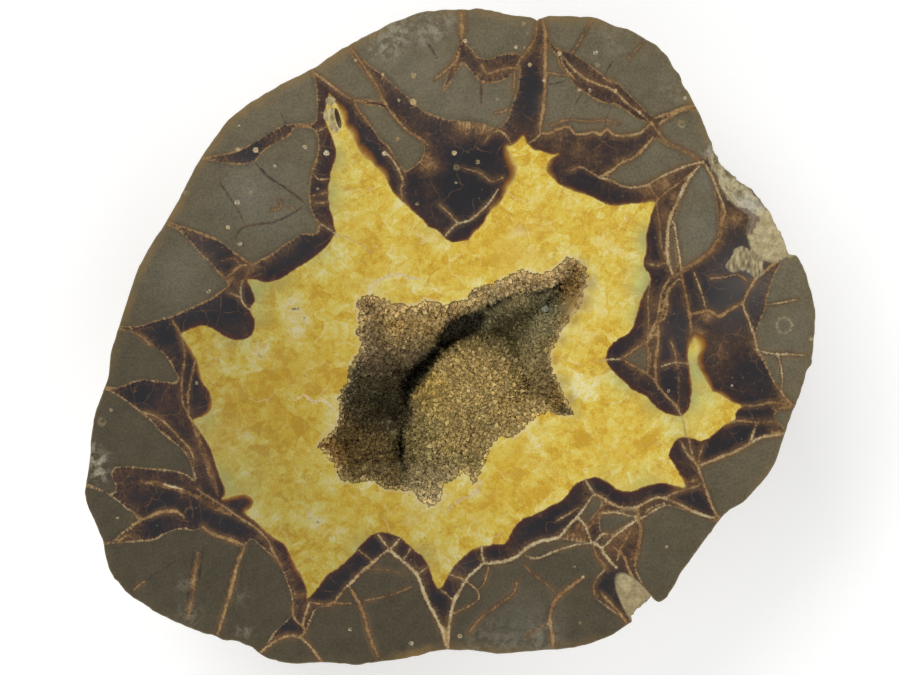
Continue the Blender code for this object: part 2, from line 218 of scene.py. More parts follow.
def parts_of_stone(mesh):
    """Tell which faces are sawn, which line the hollow, and which are the outside."""
    places = corners_of(mesh)
    sawn = []
    hollow = []
    for face in mesh.polygons:
        heights = places[list(face.vertices), 2]
        middle = places[list(face.vertices)].mean(axis=0)
        sawn.append(heights.min() > FACE_LEVEL - 0.01)
        inward = math.hypot(middle[0], middle[1]) < HOLLOW_REACH and middle[2] > HOLLOW_BOTTOM
        hollow.append(inward and not sawn[-1])
    sawn = np.array(sawn)
    hollow = np.array(hollow)
    return sawn, hollow, ~(sawn | hollow)


def ordered_loops(edges):
    """Join single edges end to end into closed loops."""
    meets = {}
    for a, b in edges:
        meets.setdefault(a, []).append(b)
        meets.setdefault(b, []).append(a)
    loops = []
    left = set(meets)
    while left:
        loop = [min(left)]
        left.discard(loop[0])
        while True:
            ahead = [n for n in meets[loop[-1]] if n in left]
            if not ahead:
                break
            loop.append(ahead[0])
            left.discard(ahead[0])
        loops.append(loop)
    return sorted(loops, key=len, reverse=True)


def sawn_edges(mesh, sawn):
    """Give the loops of corners round the sawn face: its outline first."""
    uses = {}
    for face, is_sawn in zip(mesh.polygons, sawn):
        for key in face.edge_keys:
            uses.setdefault(key, []).append(is_sawn)
    return ordered_loops([key for key, sides in uses.items() if len(sides) == 2 and sides[0] != sides[1]])


sawn, hollow, outside = parts_of_stone(rind.data)
stone_places = corners_of(rind.data)
_, lip_loop, *slit_loops = [stone_places[loop] for loop in sawn_edges(rind.data, sawn)]
hollow_depths = BVHTree.FromPolygons(
    [Vector(p) for p in stone_places],
    [list(face.vertices) for face, lines in zip(rind.data.polygons, hollow) if lines],
)
facing_up = np.array([face.normal.z for face in rind.data.polygons]) > FACING_UP
broken_corners = set()
for face, out, up in zip(rind.data.polygons, outside, facing_up):
    if out and up:
        broken_corners.update(face.vertices)
broken_tree = KDTree(max(len(broken_corners), 1))
for i in broken_corners:
    broken_tree.insert(stone_places[i], i)
broken_tree.balance()

select_faces(rind, outside)
bpy.ops.mesh.subdivide(number_cuts=CUTS_PER_FACET)
bpy.ops.object.mode_set(mode="OBJECT")
sawn, hollow, outside = parts_of_stone(rind.data)
rim_ring = max(sawn_edges(rind.data, sawn), key=len)
ring = corners_of(rind.data)[rim_ring]
select_faces(rind, outside)
bpy.ops.mesh.vertices_smooth(factor=0.5, repeat=ROUNDING_PASSES)
bpy.ops.object.mode_set(mode="OBJECT")

places = corners_of(rind.data)
for _ in range(RIM_PASSES):
    flat = ring[:, :2]
    ring[:, :2] += 0.25 * (np.roll(flat, 1, axis=0) + np.roll(flat, -1, axis=0) - 2 * flat)
places[rim_ring] = ring
put_corners(rind.data, places)

facings = facings_of(rind.data)
on_outside = np.zeros(len(places), bool)
for face, out in zip(rind.data.polygons, outside):
    if out:
        on_outside[list(face.vertices)] = True
below = fade(FACE_LEVEL - places[:, 2], 0.0, 4.0)
resting = fade(places[:, 2], 0.2, 5.0)
broken = np.array([
    1.0 if out and broken_tree.find(p)[2] < BREAK_REACH and f[2] > 0.0 else 0.0
    for p, f, out in zip(places, facings, on_outside)
])
lumps = 0.9 * relief(places, 13, 1) + 0.55 * relief(places, 5.5, 2, rough=1)
grit = 0.22 * relief(places, 1.7, 3, rough=1)
fracture = 0.9 * relief(places * np.array([1, 1, 1.5]), 4.2, 4, rough=1)
amount = (1 - broken) * (lumps + grit - 0.35) + broken * (fracture + 1.5 * grit - 0.3)
amount = amount * below * resting * on_outside
rough_places = places + facings * amount[:, None]
ring_out = ring[:, :2] / np.linalg.norm(ring[:, :2], axis=1)[:, None]
rough_places[rim_ring, :2] += ring_out * (
    0.28 * relief(ring, 3.4, 5, rough=1) + 0.12 * relief(ring, 1.1, 6) - 0.12
)[:, None]
rough_places[:, 2] = np.maximum(rough_places[:, 2], 0.0)
rim_line = rough_places[rim_ring, :2].copy()


def closeness(places, line, widths):
    """Give how far each place lies inside a line's width and the line's nearest place."""
    result = np.full(len(places), -FIELD_REACH)
    feet = places.copy()
    low = line.min(axis=0) - FIELD_REACH
    high = line.max(axis=0) + FIELD_REACH
    at_hand = np.flatnonzero(((places > low) & (places < high)).all(axis=1))
    spots = places[at_hand]
    best = result[at_hand]
    best_feet = feet[at_hand]
    for a, b, wide_a, wide_b in zip(line, line[1:], widths, widths[1:]):
        run = b - a
        along = np.clip((spots - a) @ run / max(run @ run, 1e-9), 0, 1)
        foot = a + along[:, None] * run
        here = wide_a + (wide_b - wide_a) * along - np.hypot(*(spots - foot).T)
        better = here > best
        best[better] = here[better]
        best_feet[better] = foot[better]
    result[at_hand] = best
    feet[at_hand] = best_feet
    return result, feet


def inside(places, loop):
    """Tell which places lie inside a closed loop."""
    x, y = places.T
    result = np.zeros(len(places), bool)
    for (ax, ay), (bx, by) in zip(loop, np.roll(loop, -1, axis=0)):
        crosses = (ay > y) != (by > y)
        result ^= crosses & (x < (bx - ax) * (y - ay) / (by - ay + 1e-12) + ax)
    return result


def depth_inside(places, loop):
    """Give the distance to a closed loop, positive inside it, and the loop's nearest place."""
    ring = np.vstack([loop, loop[:1]])
    closest, feet = closeness(places, ring, np.zeros(len(ring)))
    return np.where(inside(places, loop), -closest, closest), feet


# Just under the rim the sawn stone is sound: what dips in too far there is brought out again.
SOUND_DEPTH = 9
DIP_PER_MM = 0.34
is_sawn = np.abs(places[:, 2] - FACE_LEVEL) < 0.01
under = np.flatnonzero(on_outside & ~is_sawn & (places[:, 2] > FACE_LEVEL - SOUND_DEPTH))
dip, feet = depth_inside(rough_places[under, :2], rim_line)
inward = rough_places[under, :2] - feet
inward /= np.maximum(np.linalg.norm(inward, axis=1), 1e-6)[:, None]
allowed = 0.1 + DIP_PER_MM * (FACE_LEVEL - rough_places[under, 2])
rough_places[under, :2] -= inward * np.maximum(dip - allowed, 0)[:, None]
rough_places[under, 2] = np.minimum(rough_places[under, 2], FACE_LEVEL - FACE_SLAB - 0.04)

# The sawn face of this piece lies just under the polished one, and its hollow gives the crystals room.
CRYSTAL_ROOM = 3.0
lines_hollow = np.zeros(len(places), bool)
for face, lines in zip(rind.data.polygons, hollow):
    if lines:
        lines_hollow[list(face.vertices)] = True
near_middle = np.hypot(places[:, 0], places[:, 1]) < 50
rough_places[lines_hollow & near_middle] -= facings[lines_hollow & near_middle] * CRYSTAL_ROOM
rough_places[is_sawn, 2] = FACE_LEVEL - FACE_SLAB
put_corners(rind.data, rough_places)

# Seams show as places that lie lower than the stone round them.
edge_ends = np.array([e.vertices[:] for e in rind.data.edges])
spread = rough_places.copy()
for _ in range(SPREAD_PASSES):
    total = np.zeros_like(spread)
    count = np.zeros(len(spread))
    np.add.at(total, edge_ends[:, 0], spread[edge_ends[:, 1]])
    np.add.at(total, edge_ends[:, 1], spread[edge_ends[:, 0]])
    np.add.at(count, edge_ends[:, 0], 1)
    np.add.at(count, edge_ends[:, 1], 1)
    spread = 0.4 * spread + 0.6 * total / count[:, None]
seam_depth = ((spread - rough_places) * facings_of(rind.data)).sum(axis=1) * on_outside * below
keep_field(rind.data, "seam", seam_depth)
keep_field(rind.data, "broken", broken)
rind.data.shade_smooth()


def feed(node, name, value):
    """Set one input of a shader node to a plain value, or to a tone."""
    if isinstance(value, Tone):
        tree.links.new(value.socket, node.inputs[name])
    else:
        node.inputs[name].default_value = value


def add_node(kind, inputs, **settings):
    """Add a node to the material in hand, whose nodes are called tree."""
    made = tree.nodes.new("ShaderNode" + kind)
    for name, value in settings.items():
        setattr(made, name, value)
    for name, value in inputs.items():
        feed(made, name, value)
    return Outlets(made)


def calc(operation, *inputs):
    """Work out one sum at every place of the surface."""
    return add_node("Math", dict(enumerate(inputs)), operation=operation)[0]


class Tone:
    """A value, a place or a colour that changes over the surface.  A sum with it adds a node."""

    def __init__(self, socket):
        self.socket = socket

    def __add__(self, other):
        return calc("ADD", self, other)

    def __sub__(self, other):
        return calc("SUBTRACT", self, other)

    def __rsub__(self, other):
        return calc("SUBTRACT", other, self)

    def __mul__(self, other):
        return calc("MULTIPLY", self, other)

    def __truediv__(self, other):
        return calc("DIVIDE", self, other)

    def __neg__(self):
        return self * -1

    def __abs__(self):
        return calc("ABSOLUTE", self)


class Outlets:
    """What a shader node gives out, each tone by its name or number."""

    def __init__(self, node):
        self.node = node

    def __getitem__(self, name):
        return Tone(self.node.outputs[name])


def calc3(operation, first, second):
    """Work out one sum on places or colours, which have three parts."""
    given = {0: first, "Scale" if operation == "SCALE" else 1: second}
    given_out = "Value" if operation in ("DISTANCE", "DOT_PRODUCT") else "Vector"
    return add_node("VectorMath", given, operation=operation)[given_out]


def rise(value, start, end):
    """Make a mask that rises smoothly from 0 at start to 1 at end."""
    ends = {"Value": value, "From Min": start, "From Max": end}
    if start > end:
        ends = {"Value": value, "From Min": end, "From Max": start, "To Min": 1.0, "To Max": 0.0}
    return add_node("MapRange", ends, interpolation_type="SMOOTHSTEP")[0]


def blend(amount, first, second, kind="MIX"):
    """Lay a second colour over a first one."""
    return add_node("Mix", {0: amount, 6: first, 7: second}, data_type="RGBA", blend_type=kind)[2]


def mottle(where, size, detail=2.0, warp=0.0):
    """Give natural unevenness of one size in millimetres, 0 to 1."""
    inputs = {"Vector": where, "Scale": 1 / size, "Detail": detail, "Roughness": 0.55, "Distortion": warp}
    return add_node("TexNoise", inputs)[0]


def cells(where, size, feature="F1"):
    """Part the stone into cells of one size in millimetres."""
    return add_node("TexVoronoi", {"Vector": where, "Scale": 1 / size}, feature=feature)


def shades(value, *stops):
    """Turn a value into colours given at places from 0 to 1."""
    made = add_node("ValToRGB", {"Fac": value})
    elements = made.node.color_ramp.elements
    elements.remove(elements[1])
    elements[0].position, elements[0].color = stops[0]
    for place, colour in stops[1:]:
        elements.new(place).color = colour
    return made[0]


def field(name):
    """Read a number that the mesh carries."""
    return add_node("Attribute", {}, attribute_name=name)["Fac"]


def millimetres():
    """Give the place on the piece in millimetres."""
    place = add_node("TexCoord", {})["Object"]
    return calc3("SCALE", place, 1 / MM)


def warped(where, size, amount):
    """Push places about, so that what is drawn on them looks grown."""
    noise_colour = add_node("TexNoise", {"Vector": where, "Scale": 1 / size, "Detail": 2.0})[1]
    push = calc3("SUBTRACT", noise_colour, (0.5, 0.5, 0.5))
    push = calc3("SCALE", push, 2 * amount)
    return calc3("ADD", where, push)


def new_group(name, given, made):
    """Start a shared shader group with these inputs and outputs."""
    tree = bpy.data.node_groups.new(name, "ShaderNodeTree")
    for label, kind in given.items():
        tree.interface.new_socket(label, in_out="INPUT", socket_type="NodeSocket" + kind)
    for label, kind in made.items():
        tree.interface.new_socket(label, in_out="OUTPUT", socket_type="NodeSocket" + kind)
    return tree, Outlets(tree.nodes.new("NodeGroupInput")), tree.nodes.new("NodeGroupOutput")


# Mudstone's own grain, shared by the rind and the polished blocks: soft clouds and fine speckle.
mudstone, given, made = new_group(
    "mudstone_grain", {"Where": "Vector", "Stone": "Color"}, {"Color": "Color", "Height": "Float"}
)
tree = mudstone
clouds = mottle(given["Where"], 16, detail=3)
speckle = mottle(given["Where"], 0.62, detail=3)
flaws = mottle(given["Where"], 3.4, detail=4)
light = clouds * 0.4 + 0.54
light += flaws * 0.52
light += speckle * 1.1 - 0.55
lit = calc3("SCALE", given["Stone"], light)
warm_cloud = rise(mottle(given["Where"], 7, detail=3), 0.5, 0.8)
warm = blend(warm_cloud * 0.35, lit, (1.06, 0.97, 0.86, 1), kind="MULTIPLY")
feed(made, "Color", warm)
feed(made, "Height", speckle)


def near_place(where, place, full, none):
    """Make a mask that is 1 within one distance of a place and 0 beyond another."""
    away = calc3("DISTANCE", where, (*place, FACE_LEVEL))
    return rise(away, none, full)


rind_material, tree, shader = new_material("weathered_mudstone")
where = millimetres()
patches = mottle(warped(where, 14, 5), 19, detail=4)
base = shades(
    patches, (0.3, paint(92, 82, 62)), (0.45, paint(118, 105, 80)), (0.58, paint(146, 130, 100)),
    (0.72, paint(164, 150, 120)),
)
rust = rise(mottle(where, 8, detail=4, warp=0.4), 0.56, 0.72)
base = blend(rust * 0.55, base, paint(142, 98, 58))
dust = rise(mottle(where, 2.2, detail=4), 0.52, 0.7)
base = blend(dust * 0.4, base, paint(178, 164, 134))
seam = rise(field("seam") + mottle(where, 2) * 0.5, 0.75, 1.3)
base = blend(seam * 0.6, base, paint(150, 112, 66))
pores = cells(warped(where, 2, 0.8), 2.6)["Distance"]
pores = rise(pores, 0.24, 0.1) * rise(mottle(where, 6), 0.5, 0.62)
base = blend(pores * 0.75, base, paint(52, 44, 36))

fresh = shades(
    mottle(where, 2.6, detail=4), (0.3, paint(108, 96, 66)), (0.48, paint(156, 143, 108)),
    (0.66, paint(192, 180, 142)),
)
smooth_lobe_painted_sheen = near_place(where, (78.4, 35.3), 1.4, 5.2)
tan_break = near_place(where, (82, 23.5), 7, 11)
pale_spall = near_place(where, (48.6, -71.6), 8, 11)
# Painted sheen: the smooth glossy lobe of the break is painted pale grey; its lower roughness is real.
fresh = blend(smooth_lobe_painted_sheen * 0.6, fresh, paint(186, 180, 166))
fresh = blend(tan_break * 0.5, fresh, paint(184, 167, 122))
wander_rind = mottle(where, 2.2, detail=4) - 0.5
filled_part = rise(wander_rind * 2 + near_place(where, (77, 30), 1.6, 5.4), 0.35, 0.6)
fresh = blend(filled_part * 0.85, fresh, blend(patches, paint(96, 68, 52), paint(128, 112, 100)))
grey_part = rise(wander_rind * 2 + near_place(where, (87.4, 18.4), 1, 4), 0.35, 0.6)
fresh = blend(grey_part * 0.9, fresh, paint(104, 95, 74))
# Painted shade: the rind seen down the open slit is painted dark.
slit_painted_shade = near_place(where, (-29, 57), 3, 5)
fresh = blend(slit_painted_shade * 0.95, fresh, paint(52, 42, 26))
fresh = blend(pale_spall * 0.6, fresh, paint(178, 158, 116))
is_broken = rise(field("broken"), 0.3, 0.7)
base = blend(is_broken, base, fresh)
grained = add_node("Group", {"Where": where, "Stone": base}, node_tree=mudstone)
feed(shader, "Base Color", grained["Color"])
gloss = smooth_lobe_painted_sheen * is_broken
feed(shader, "Roughness", 0.86 - gloss * 0.5)
height = mottle(where, 1.6, detail=5) * 0.7 + pores * -0.5
bump = add_node("Bump", {"Height": height, "Distance": 0.6 * MM, "Strength": 0.8})
feed(shader, "Normal", bump[0])
rind.data.materials.append(rind_material)
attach(rind, "root")
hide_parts("nodule")


# The polished face: the nodule's sawn middle, lapped flat and shiny.  Blocks of grey mudstone are
# parted by cracks, lined first with a thin tan seam, then with dark brown mineral in a band of 5 to
# 10 mm, and last filled with yellow crystals that grew inwards and left the hollow open.
LINE_STEP = 0.9
FACE_GRAIN = 0.72
FACE_BOX = ((-98, -90), (98, 92))
LIP_STEP = 0.42
SEAM_SHARE = 0.62
# The rows of an even net lie closer together than the places along them.
NET_ROW = 0.866

# The outline of the yellow filling, counter-clockwise from its upper right corner.
YELLOW_OUTLINE = (
    (53.5, 35), (50, 34.8), (47, 34.6), (44, 34.2), (42, 34), (40.5, 34.5), (38, 35.8), (36, 36.8),
    (33.5, 37.5), (31, 38.3), (28, 40), (26.5, 41.5), (25.5, 42.5), (25, 43.5), (25.5, 45),
    (26.5, 46.5), (28.3, 47.6), (27, 47.2), (24, 48.2), (22, 48.7), (21, 49.7), (20, 50.8),
    (19.2, 52.3), (18, 51), (16.5, 50), (15, 49.5), (15.5, 48), (16.5, 46), (17.5, 44), (17.2, 42),
    (16.5, 40.5), (15, 38.5), (14, 36.5), (12.5, 34), (11, 33), (9.8, 31.5), (8.8, 29.5), (6.8, 27.5),
    (5, 25.3), (3, 24.8), (1, 24.4), (-0.3, 25), (-1.5, 26), (-3.5, 27.8), (-5.5, 28.8), (-7, 30.5),
    (-9, 32), (-10.5, 33.5), (-13.5, 36.5), (-15, 38.2), (-17, 42), (-20, 45), (-23, 48), (-25.5, 52.5),
    (-27, 55), (-27.8, 57.5), (-29, 60), (-30.5, 62.5), (-31.3, 63.3), (-32, 60.5), (-32.2, 57),
    (-31.5, 54), (-30.5, 52), (-29.7, 50), (-29.5, 48), (-29.8, 46), (-31, 42), (-31.5, 37),
    (-31.2, 34), (-30.5, 32), (-30, 29.5), (-29.5, 27.5), (-30.2, 26), (-31.5, 24), (-35.5, 20.5),
    (-38, 18.8), (-41, 17), (-43.5, 15.3), (-45.5, 14.5), (-48, 14.3), (-51.5, 15), (-53, 15.2),
    (-52, 13.5), (-50.6, 10), (-51, 8.3), (-52, 7.3), (-50.7, 4.5), (-50.7, 2.5), (-51.5, 0.5),
    (-53, -0.5), (-55, -0.8), (-58, -0.2), (-60, 1), (-62, 2.2), (-64, 2.8), (-66, 2.5), (-68, 1.5),
    (-70, 0.8), (-68.5, -1.5), (-67, -3.5), (-65.3, -7.5), (-64, -11.5), (-62, -15), (-61.8, -17),
    (-62, -19), (-63, -20), (-65, -21), (-67, -21.8), (-64.5, -25), (-62.2, -29), (-61.5, -31),
    (-60.2, -35), (-58.5, -39), (-58, -41), (-59, -42), (-57, -41.5), (-55, -41), (-53, -41),
    (-51.5, -41.8), (-50.8, -43), (-51.5, -44.5), (-53, -45.5), (-51, -47.5), (-49.5, -49),
    (-46, -51.5), (-44, -53), (-42.5, -54.5), (-40.5, -58.5), (-38.3, -62.5), (-37, -66), (-37, -68),
    (-35, -66), (-33, -63), (-31.5, -61.5), (-29.5, -60.3), (-26, -57.5), (-24, -55), (-22, -53),
    (-20.5, -51.5), (-19, -51), (-17, -50.7), (-15, -51.2), (-13, -52), (-10, -54.7), (-8, -56.3),
    (-6.5, -57.8), (-5.3, -60), (-3.5, -64.5), (-2.5, -65.5), (-1.5, -64), (-0.5, -62), (0.5, -60.5),
    (2, -58.5), (4, -56.8), (6, -55.3), (7.5, -54.7), (9.5, -54.2), (12, -53.8), (14.5, -53.6),
    (16.5, -50), (17.5, -48.5), (19.5, -47), (22, -46), (24.5, -45), (26.5, -43.8), (29, -42.5),
    (31, -40.5), (32, -39), (34, -37.5), (36, -36.8), (38, -36.5), (40.5, -37.3), (42.5, -38.5),
    (44, -40), (48, -40), (50, -39), (52.5, -38.3), (54.5, -38), (57, -38.2), (59, -38.8),
    (61.5, -39.3), (60, -36), (58, -32.5), (57, -30.7), (57.5, -28.8), (58.5, -27), (60, -26.2),
    (61.5, -26), (63.5, -26.5), (65.5, -27), (67.5, -26), (69.5, -24.5), (71.5, -23), (74.3, -21.5),
    (74.2, -20), (75, -18.8), (76.5, -18), (74, -17), (70.5, -15), (68.5, -14), (67.3, -12), (65, -8),
    (64.3, -6), (65, -2.5), (63.5, 0), (62.5, -2), (62, -5), (62.5, -9), (63, -12), (62.3, -18),
    (60.5, -20.5), (58, -20.3), (55.5, -19.5), (52, -16.3), (50.5, -15), (48, -14), (45.5, -12),
    (42, -8.5), (40.8, -6.5), (40.8, -4), (42, -2), (44, -0.3), (46, 0.8), (47.5, 2), (48.7, 6),
    (50, 10.5), (52, 13.8), (52.3, 15), (51.5, 17), (50.5, 18.5), (51, 22), (51.3, 27), (52.5, 32),
    (53, 33.5),
)

# The mudstone blocks that reach the rim.  Each line runs from rim to rim along the filled cracks.
RIM_BLOCKS = (
    ((-36, 69.6), (-35, 67), (-34.3, 62), (-34.4, 58), (-35.2, 55.6), (-38, 55.4), (-40.5, 55.4),
     (-43, 55), (-47, 52.8), (-51, 50.3), (-56, 48.1), (-60, 47.2), (-63.8, 46.7)),
    ((-64, 46.3), (-60, 45.6), (-55.5, 45), (-52, 45.3), (-50, 46.3), (-49.3, 47.5), (-47.3, 49.3),
     (-44, 51.2), (-41.3, 52.7), (-40.8, 54.2), (-37, 54.6), (-34.8, 53.7), (-34, 51), (-34.3, 47),
     (-35.5, 43.5), (-36.2, 40), (-36.3, 36), (-36, 33.5), (-35, 31), (-33.8, 29.2), (-34.7, 27),
     (-36.5, 26.6), (-38.5, 26.8), (-40.5, 25.3), (-43, 23.8), (-46.5, 21.2), (-49, 20), (-51.3, 18.8),
     (-53.5, 20.2), (-56, 22), (-60, 25), (-66, 27.4), (-70, 28.8), (-73.8, 30.1)),
    ((-74, 29.6), (-70.5, 27.8), (-67.5, 25), (-65, 22), (-62, 19.3), (-60, 16.8), (-58.3, 15.2),
     (-57.3, 13.5), (-59.5, 11.8), (-61.5, 10.2), (-65, 8.4), (-68.5, 7), (-72, 5.3), (-77, 4),
     (-81, 2.7), (-85.6, 2.7)),
    ((-86.6, 2.2), (-83, 1.6), (-81.3, 0.8), (-79, -0.5), (-77, -2.3), (-74.5, -4), (-72.5, -6.5),
     (-71.2, -9), (-70.3, -11), (-71.5, -11.9), (-75, -11.6), (-80, -11.2), (-83, -12), (-86.5, -13.3),
     (-89.5, -12.8)),
    ((-89.5, -13.4), (-86, -15.2), (-83.5, -17), (-80.5, -19.3), (-77.5, -21.8), (-75, -24.6),
     (-72, -27), (-69, -29.7), (-67.4, -32.5), (-66.4, -35.5), (-66, -37.5), (-69, -35.6), (-73, -34.7),
     (-78, -34.3), (-83, -33.8), (-87, -34.1), (-87.8, -35.8), (-86.9, -38), (-86.8, -40.3),
     (-88.3, -40.6), (-91, -39.5), (-94.9, -38.1)),
    ((-95, -38.6), (-91, -39.9), (-88.5, -41), (-86.5, -42.3), (-84, -44.5), (-82, -45.7),
     (-80.3, -47.6), (-82.5, -49.3), (-85, -51), (-88, -53.3), (-90.3, -53.5)),
    ((-90.2, -54), (-86, -53.4), (-80, -53), (-76.5, -52.5), (-73.5, -50.8), (-69.5, -49.8),
     (-66.5, -50.2), (-64, -49.5), (-61.8, -51.4), (-58, -52.8), (-53.6, -54.2), (-51.6, -52.4),
     (-49, -54.4), (-45.5, -57.3), (-43.6, -60), (-42, -64), (-40.8, -68), (-40.8, -72), (-43.5, -75),
     (-45.5, -77), (-47.5, -80), (-49.8, -82.3)),
    ((-49.5, -82.6), (-47, -80.2), (-44, -78.5), (-41.5, -77.7), (-39, -78.2), (-37, -79.5), (-35, -82),
     (-33, -84.8)),
    ((-32.6, -84.8), (-35, -81.5), (-38.2, -78.3), (-37.3, -76.3), (-36, -73), (-34.3, -70.3),
     (-30, -69.6), (-27.3, -65.2), (-25.5, -64), (-24, -62), (-22, -60.8), (-19.5, -58.5), (-17, -55.9),
     (-15.8, -55.3), (-14, -56.4), (-12, -58.4), (-10, -60.2), (-8.3, -62), (-7.5, -64.5), (-6, -68),
     (-4, -72), (-2.5, -75), (-1.2, -79), (-0.6, -81.6)),
    ((-0.3, -81.6), (0, -75), (0.6, -71), (1.2, -68.3), (3, -65.5), (4.5, -63), (7, -60.5), (9, -59),
     (12, -58.9), (16, -58), (18.5, -56.6), (20, -55.1), (23, -53.4), (26, -52.8), (29, -52.4),
     (33, -53), (37, -54), (38.3, -57), (40.5, -60.2), (38.8, -62), (37.3, -65), (38, -67.5),
     (41.5, -70.5), (44.5, -72.5), (46.3, -75)),
    ((54, -69), (52.2, -66.8), (49.7, -63.5), (48.3, -60), (48.9, -56), (49.8, -52), (49.9, -48.6),
     (51, -45.8), (52.8, -44.3), (55, -43.6), (57.5, -43.8), (61, -44.8), (65, -46), (70, -48.2)),
    ((70.6, -47.6), (69, -45.3), (67.5, -42), (66, -38), (64.6, -34.2), (68, -32.6), (71, -31.3),
     (74.5, -30), (77.5, -28.3), (80, -26.8), (83, -26), (87.6, -25.3)),
    ((87.5, -24.6), (85.6, -22.3), (84.3, -20.3), (86, -18.9), (89.5, -18.4)),
    ((89.6, -17.9), (86.5, -14.8), (84.5, -12), (83, -9), (81.5, -5.5), (79.6, -3), (79.2, -0.5),
     (79.8, 2), (81, 4.8), (82, 7.5), (82.4, 10), (83.3, 13), (84.6, 16.5), (86.5, 19.8), (88.8, 22.4)),
    ((69.3, 48.3), (65.3, 46.4), (62, 48), (59.5, 49.3), (56.5, 50.6), (54.9, 52.6), (54.6, 55),
     (57, 57), (60, 58.8), (64.8, 59.2)),
    ((64.4, 60.3), (59, 59), (56, 58.1), (53.5, 57.3), (51.5, 58), (49.5, 60), (47, 62.5), (44, 65.5),
     (41, 67), (38, 69.5), (35, 71.5), (32, 73.7), (30, 74.2), (27, 75.8), (25.4, 78.3), (24.2, 83.4)),
    ((22.6, 82.4), (22.2, 79), (21.3, 76), (19.2, 73.3), (17.5, 73.6), (14, 73.4), (10, 72.2),
     (7.5, 72.6), (5.7, 74.8), (4, 76.4), (3.9, 80), (3.8, 85.4)),
    ((2.8, 85.4), (2.6, 80), (2.5, 76), (0.8, 71.5), (-0.6, 68), (-1.6, 63.6), (0.4, 66.6), (2.2, 69.8),
     (3.5, 71.4), (5.4, 69.4), (7.6, 67), (9, 66.2), (12, 66.3), (15, 67.4), (16.5, 68.8), (18.2, 70.4),
     (18.1, 66), (17, 62), (16, 59), (15.3, 56.8), (14, 55.2), (12.7, 54.1), (11, 54.3), (9, 55.3),
     (5, 56), (0, 56.3), (-4, 57.5), (-7, 58.8), (-9.5, 60.8), (-11, 62.3), (-14, 64.9), (-17.5, 68.1),
     (-21.5, 71), (-24, 73.2), (-26, 76)),
    ((-26.6, 75.6), (-24.7, 72.4), (-22.4, 69.4), (-20, 66.4), (-18.2, 63), (-17.5, 61), (-21.3, 61.6),
     (-23.5, 61.7), (-25.5, 61.9), (-28, 63.4), (-31.5, 66.1), (-35.6, 68.9)),
)

# The blocks that stand free of the rim.
INNER_BLOCKS = (
    ((-25, 61.2), (-22, 60.6), (-18, 60), (-16, 58.8), (-14, 56.7), (-11.5, 54), (-8.5, 51.8),
     (-6.5, 50), (-7, 46.5), (-9, 44.5), (-11.5, 43), (-13, 45), (-14.5, 47), (-16, 49.5), (-18, 51.2),
     (-19.5, 53.5), (-21, 55.5), (-22.5, 57.5)),
    ((25, 75.8), (28, 73.2), (29, 70.5), (31, 68), (33, 65.2), (35, 63.8), (38, 62), (40, 61),
     (43, 60.5), (46, 59), (48.5, 57), (51.3, 55.8), (51, 54.2), (49, 53), (46, 52.6), (44, 52.4),
     (42, 53), (41.2, 54.3), (40.3, 53.4), (39, 52.7), (38, 53.3), (36, 53), (33, 52.5), (32, 53.8),
     (31.3, 54.6), (29, 54.2), (27, 53.4), (24, 53.2), (24, 58), (24.6, 63), (24.9, 70)),
    ((39.5, 41.5), (42, 43), (44.5, 45), (47, 46), (49.5, 47.8), (52, 50.5), (53.8, 51.8), (56.3, 50.2),
     (60, 48.6), (65, 45.8), (60, 44), (57, 42.8), (53.5, 41), (51.5, 39.8), (48, 39.1), (45, 39.4)),
    ((65.8, 44.6), (68.2, 41), (69.2, 37), (69.7, 33), (70, 29.5), (69.6, 25.5), (68.3, 23), (66, 21),
     (63, 19), (60.3, 17.9), (59.7, 21), (58.8, 26), (58.2, 30), (59.2, 33), (61.2, 38.5)),
    ((59, 17.4), (58.3, 16.5), (57.6, 19), (57.1, 22), (57.4, 26.5), (57.8, 29.5), (58.6, 25)),
    ((37.4, -41), (39.8, -42.4), (39.4, -44.2), (37, -47), (35.4, -48.7), (33.6, -47.4), (35, -44.5)),
    ((39.5, -46), (42.5, -45.3), (45.5, -45), (48.6, -45.3), (48, -47.5), (45, -49.5), (42, -51.2),
     (40, -51.4), (39, -49)),
    ((39.4, -53), (41, -52), (43.6, -50.8), (41.8, -53.2), (40.2, -54.4)),
    ((45.6, -5.6), (50.6, -1.8), (52.2, -5), (51.4, -9.4), (48, -7.4)),
    ((-29.6, -68.6), (-27.6, -65.8), (-26.3, -68.7)),
)

# Brown islands in the blocks, where a crack was filled before it reached the next one.
BROWN_LENSES = (
    ((27.8, 74.4), (30.5, 69.5), (33, 65.6), (37, 62.6), (42, 61), (46, 59.2), (50, 56.6), (52.4, 56),
     (50.5, 59.2), (47, 62.6), (44, 65.6), (40, 67.8), (36, 70.9), (32, 73.6)),
    ((61, 42.9), (58.6, 43.3), (55.5, 42), (55, 41.2), (58, 41.8)),
)

